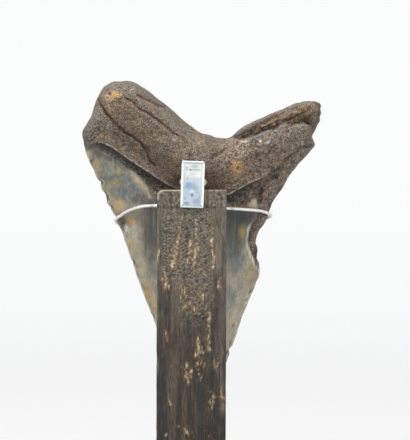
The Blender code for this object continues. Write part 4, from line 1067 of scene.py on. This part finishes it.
def woodMaterial(name):
    # the tint times fibres drawn out along Z, or times round curls where the curl attribute is high
    material, shade, add, spread, noise = newMaterial(name)
    tint = add("ShaderNodeAttribute", "Color", attribute_name="tint")
    curl = add("ShaderNodeAttribute", "Fac", attribute_name="curl")
    place = add("ShaderNodeTexCoord", "Object")
    drawn = add("ShaderNodeMapping", "Vector", {"Vector": place, "Scale": (1.0, 1.0, 0.14)})
    fibres, curls = noise(drawn, 2400.0, 4.0, 0.6), noise(place, 1600.0, 2.0, 0.6)
    both = add("ShaderNodeMix", 0, {"Factor": curl, "A": fibres, "B": curls})
    color = add("ShaderNodeVectorMath", "Vector", {0: tint, "Scale": spread(both, 0.42, 1.62, 0.3, 0.7)},
                operation="SCALE")
    relief = add("ShaderNodeBump", "Normal", {"Height": both, "Strength": 0.5, "Distance": 0.0003})
    shade({"Base Color": color, "Roughness": 0.72, "Specular IOR Level": 0.36, "Normal": relief})
    return material


plateShape = {"size": (10.1, 1.5, 20.4), "centre": (0.25, -22.05, 169.1), "turn": 1.9, "bevel": 0.8,
              "corner": 0.5}
# painted reflections and highlights on the plate's face
plateReflections = [  # x, z from the plate's middle, half width, half height, colour, strength
    (-1.9, -0.9, 1.9, 1.9, (142, 178, 206), 0.85), (0.8, -1.2, 1.9, 1.3, (168, 188, 200), 0.8),
    (-2.6, -3.6, 1.2, 2.2, (176, 206, 218), 0.6), (-0.2, -3.0, 1.0, 0.7, (222, 238, 244), 0.8),
    (1.6, -7.4, 2.4, 1.6, (160, 176, 202), 0.8), (3.4, -7.0, 0.9, 2.2, (160, 180, 206), 0.6),
    (-2.5, -8.2, 1.4, 1.0, (142, 160, 178), 0.85), (-3.3, -6.2, 0.9, 1.0, (160, 178, 200), 0.8),
    (0.0, -4.7, 0.75, 0.85, (112, 134, 140), 0.9), (1.8, -3.4, 0.8, 0.8, (170, 190, 204), 0.7),
    (3.5, -5.2, 0.5, 1.2, (150, 172, 180), 0.7), (0.7, 7.7, 2.6, 0.55, (182, 192, 197), 0.8),
    (0.9, 6.4, 2.7, 0.50, (172, 186, 192), 0.8), (-1.1, 6.3, 1.0, 0.45, (140, 156, 164), 0.9),
    (0.6, 4.6, 2.4, 0.45, (206, 213, 217), 0.6), (-2.6, 6.8, 0.6, 1.4, (176, 196, 208), 0.8),
    (-2.2, 8.3, 0.8, 0.8, (236, 248, 255), 0.9), (-2.2, 5.0, 0.8, 0.8, (236, 248, 255), 0.9),
    (-2.3, 2.7, 0.5, 0.6, (176, 192, 194), 0.8), (0.5, 9.2, 4.4, 0.8, (196, 204, 206), 0.7),
    (-3.7, 1.0, 0.6, 9.0, (186, 208, 222), 0.6), (3.7, -3.0, 0.5, 6.0, (204, 224, 232), 0.6),
    (-1.2, 1.4, 2.6, 0.8, (206, 224, 232), 0.6), (2.6, 4.2, 1.8, 1.4, (252, 252, 250), 0.6)]


def makePlate():
    # a rounded rectangle in X-Z, carried from the post side to the bevelled outer face, and closed
    # over that face by rings that shrink to its middle; a fine groove runs inside the bevel
    width, thick, height = plateShape["size"]
    ringX, ringZ = boardRing(260, width, height, plateShape["corner"])
    rim = plateShape["bevel"]
    flat = rim + 0.45                                # the face is flat from this inset on
    steps = [(0.10, 0.0), (0.0, 0.10), (0.0, thick - 0.45), (0.05, thick - 0.36), (rim * 0.5, thick - 0.18),
             (rim - 0.1, thick - 0.03), (rim, thick), (rim + 0.14, thick - 0.07), (rim + 0.28, thick - 0.02)]
    steps += [(inset, thick - 0.02) for inset in np.linspace(flat, width / 2 - 0.12, 34)]
    inset, depth = np.array(steps)[:, :1], np.array(steps)[:, 1:]
    inward = np.clip((inset - flat) / (width / 2 - flat), 0, 1)
    x = ringX * (1 - 2 * inset / width)
    z = ringZ * (1 - (2 * inset + (height - width) * inward) / height)
    level = 0 * x
    face = level + ramp(inset, rim + 0.2, rim + 0.5)
    y = face * (0.02 * rough(x, level, z, 3.0, 301, 3) + 0.15 * bump(np.hypot(x, z + 4.7), 0.5)) - depth
    turn = math.radians(plateShape["turn"])
    centreX, centreY, centreZ = plateShape["centre"]
    plate = closedRings("clipPlate", np.stack([
        centreX + x * math.cos(turn) + z * math.sin(turn), centreY + thick / 2 + y,
        centreZ - x * math.sin(turn) + z * math.cos(turn)], axis=-1))
    plate.data.set_sharp_from_angle(angle=math.radians(40))

    cloud, upper, edge = rough(x, level, z, 4.0, 311, 3), ramp(z, 1.5, 4.0), 1 - face
    ragged = 0.25 * lumps(x, level, z, 1.2, 313)
    # the face's tint is painted reflection: a bluish cloud below and a bright painted reflection over the
    # upper part
    tint = blend(evenly(x, 204, 216, 226), [
        (0.7 * ramp(cloud, 0.0, 0.8) * (1 - upper), (226, 236, 242)),
        (0.6 * ramp(-cloud, 0.1, 0.8) * (1 - upper), (172, 192, 210)),
        (upper, (234, 236, 234))])
    for *oval, rgb, share in plateReflections:
        tint = blend(tint, [(share * stain(x, z, *oval, ragged, 0.4, 1.2), rgb)])
    groove = level + bump(inset - rim - 0.16, 0.14)
    # the bevel: a bright painted highlight, a grey-blue painted reflection along the top and a pale one
    # along the bottom; the groove inside it darkened as painted shade
    tint = blend(tint, [
        (edge, (250, 246, 240)),
        (0.9 * edge * ramp(z, height / 2 - 1.3, height / 2 - 0.8), (140, 152, 158)),
        (0.8 * edge * ramp(-z, height / 2 - 1.3, height / 2 - 0.8), (198, 214, 218)),
        (0.8 * groove, (150, 158, 160)),
        (groove * ramp(-z, height / 2 - 1.6, height / 2 - 1.1), (92, 110, 116))])
    paint(plate, "tint", tint.reshape(-1, 3))

    material, shade, add, spread, noise = newMaterial("plate metal")
    color = add("ShaderNodeAttribute", "Color", attribute_name="tint")
    smear = noise(add("ShaderNodeTexCoord", "Object"), 900.0, 4.0, 0.6)
    relief = add("ShaderNodeBump", "Normal", {"Height": smear, "Strength": 0.05, "Distance": 0.0002})
    shade({"Base Color": color, "Metallic": 1.0, "Roughness": spread(smear, 0.22, 0.40), "Normal": relief})
    return finishPiece(plate, material, "plate")


def metalMaterial(name, rgb, roughness, metallic):
    # cloudy metal between the given colour and a slightly darker one
    material, shade, add, spread, noise = newMaterial(name)
    cloud = noise(add("ShaderNodeTexCoord", "Object"), 600.0, 3.0)
    tones = add("ShaderNodeValToRGB", "Color", {"Fac": cloud})
    for element, share in zip(tones.node.color_ramp.elements, (0.82, 1.0)):
        element.color = (*(linear(*rgb) * share), 1)
    shade({"Base Color": tones, "Metallic": metallic,
           "Roughness": spread(cloud, roughness * 0.8, roughness * 1.3)})
    return material


spacerShape = {"x": 0.5, "z": 170.1, "width": 11.8, "height": 3.6, "back": -21.0, "front": -15.9}


def makeSpacer():
    # a stadium outline carried along Y, with softly rounded rims
    shape = spacerShape
    radius, deep = shape["height"] / 2, shape["front"] - shape["back"]
    ringX, ringZ = boardRing(72, shape["width"], shape["height"], radius * 0.98)
    inset = np.array([0.25, 0.07, 0.0, 0.0, 0.07, 0.25])[:, None]
    depth = np.array([0.0, 0.07, 0.25, deep - 0.25, deep - 0.07, deep])[:, None]
    x = ringX * (1 - inset / (shape["width"] / 2))
    z = ringZ * (1 - inset / radius)
    rings = np.stack([shape["x"] + x, shape["back"] + depth + 0 * x, shape["z"] + z], axis=-1)
    spacer = closedRings("clipSpacer", rings[:, ::-1])
    material = metalMaterial("spacer metal", (180, 174, 164), 0.40, 1.0)
    return finishPiece(spacer, material, "spacer")


wireShape = {"radius": 0.70, "clear": 0.25, "step": 0.5, "sides": 20, "bendAt": 18.0,
             "leftHook": (-31.9, 155.5, -32.3, 151.5, -2.2), "rightHook": (32.6, 157.0, 33.0, 154.4, 2.3)}
wireLeft = [(-29.9, 156.9), (-26.4, 158.4), (-22.4, 159.5), (-18.3, 160.0)]
wireRight = [(18.1, 158.6), (22.6, 158.3), (27.0, 158.0), (30.6, 157.6)]
wireInSlot = [(-15.7, -13.3, 159.9), (0.0, -13.35, 159.3), (15.7, -13.3, 158.7)]


def wireRoute(tooth):
    # the middle line, laid on the crown by rays along Y and hooked round its two cutting edges
    tree = BVHTree.FromObject(tooth, bpy.context.evaluated_depsgraph_get())
    clear = wireShape["radius"] + wireShape["clear"]

    def laid(x, z, side):
        # the wire's middle over the crown: the highest of five hits round (x, z), plus the clearance
        heights = []
        for dx, dz in ((0, 0), (-clear, 0), (clear, 0), (0, clear), (0, -clear)):
            start = Vector(((x + dx) * metre, 0.08 * side, (z + dz) * metre))
            hit = tree.ray_cast(start, Vector((0, -side, 0)))[0]
            if hit:
                heights.append(hit.y / metre * side)
        return x, side * (max(heights) + clear), z

    def hook(frontX, frontZ, behindX, behindZ, bulge):
        # half a turn round the edge: straight steps in z, a cosine in y, and a sine of bulge in x
        front, behind = laid(frontX, frontZ, -1), laid(behindX, behindZ, 1)
        points = [laid(behindX - bulge * 1.6, behindZ - 0.5, 1), behind]
        for angle in np.radians([150, 120, 90, 60, 30]):
            share = angle / math.pi
            points.append((frontX + (behindX - frontX) * share + bulge * math.sin(angle),
                           front[1] + (behind[1] - front[1]) * (1 - math.cos(angle)) / 2,
                           frontZ + (behindZ - frontZ) * share))
        return points + [front]

    def sweep(spots):
        # the smooth curve of second degree that just clears the crown at every spot
        x, y, z = np.array([laid(x, z, -1) for x, z in spots]).T
        smooth = np.polyval(np.polyfit(x, y, 2), x)
        return list(zip(x, smooth - np.max(smooth - y), z))

    return np.array(hook(*wireShape["leftHook"]) + sweep(wireLeft) + wireInSlot + sweep(wireRight)
                    + hook(*wireShape["rightHook"])[::-1])


def makeWire(tooth):
    # a circle carried along the route: centre + radius (cos a N + sin a B), closed by round ends
    radius = wireShape["radius"]
    points = wireRoute(tooth)
    at = np.concatenate([[0.0], np.cumsum(np.linalg.norm(np.diff(points, axis=0), axis=1))])
    t = np.linspace(0, at[-1], int(at[-1] / wireShape["step"]))
    path = np.column_stack([curve(np.column_stack([at, values]), t) for values in points.T])
    for turn in range(4):
        path[1:-1] = (path[:-2] + 2 * path[1:-1] + path[2:]) / 4
    for turn in range(12):                           # a softer bend where it enters the slot
        bend = bump(np.abs(path[1:-1, :1]) - wireShape["bendAt"], 4.0)
        path[1:-1] += bend * (path[:-2] - 2 * path[1:-1] + path[2:]) / 4

    def unit(vectors):
        return vectors / np.linalg.norm(vectors, axis=1, keepdims=True)

    tangent = unit(np.gradient(path, axis=0))
    normal = unit(np.cross(tangent, np.array([0.0, 0.0, 1.0])))
    binormal = np.cross(tangent, normal)
    outward = np.linspace(1, 0, 5)[:-1]              # steps of each round end, from its tip inwards
    swell = np.sqrt(1 - outward ** 2 * 0.95)
    swell = np.concatenate([swell, np.ones(len(path)), swell[::-1]])[:, None, None]
    reach = radius * outward[:, None]
    path = np.concatenate([path[0] - tangent[0] * reach, path, path[-1] + tangent[-1] * reach[::-1]])
    normal, binormal = (np.pad(vectors, ((len(outward),) * 2, (0, 0)), mode="edge")[:, None]
                        for vectors in (normal, binormal))
    angle = np.linspace(0, 2 * math.pi, wireShape["sides"] + 1)[:-1, None]
    rings = path[:, None] + radius * swell * (np.cos(angle) * normal + np.sin(angle) * binormal)
    wire = closedRings("clipWire", rings)
    return finishPiece(wire, metalMaterial("wire metal", (246, 246, 242), 0.42, 0.55), "wire")


baseShape = {"size": (100.0, 68.0, 18.0), "chamfer": 1.6, "arris": 2.2, "topRings": 60}


def makeBase():
    # a rounded rectangle carried up Z with a small chamfer, closed over the top by shrinking rings
    width, deep, height = baseShape["size"]
    chamfer, count = baseShape["chamfer"], baseShape["topRings"]
    ringX, ringY = boardRing(320, width, deep, baseShape["arris"])
    inset = [chamfer * 0.7, 0.3, 0.0, 0.0, 0.25, chamfer * 0.6, chamfer, chamfer + 0.4]
    level = [0.0, 0.3, chamfer, height - chamfer, height - chamfer * 0.6, height - 0.25, height, height]
    inset = np.array(inset + list(np.linspace(4.0, deep / 2 - 0.2, count)))[:, None]
    level = np.array(level + [height] * count)[:, None]
    x = ringX * (1 - 2 * inset / width)
    y = ringY * (1 - 2 * inset / deep)
    z = level + 0 * x
    base = closedRings("standBase", np.stack([x, y, z], axis=-1))
    base.data.set_sharp_from_angle(angle=math.radians(35))
    streak = lumps(0.03 * x, y, z, 1.6, 403) + 0.6 * lumps(0.05 * x, y, z, 0.6, 405)
    tint = blend(evenly(x, 86, 77, 68), [
        (0.5 * ramp(streak, 0.1, 1.1), (112, 98, 84)),
        (0.6 * ramp(-streak, 0.1, 1.1), (58, 53, 49))])
    paint(base, "tint", tint.reshape(-1, 3))
    return finishPiece(base, woodMaterial("base wood"), "base")


makeCamera()
makeStudio()
print("studio ready")
tooth = makeTooth()
makePost()
makePlate()
makeSpacer()
makeWire(tooth)
makeBase()
print("all pieces made")
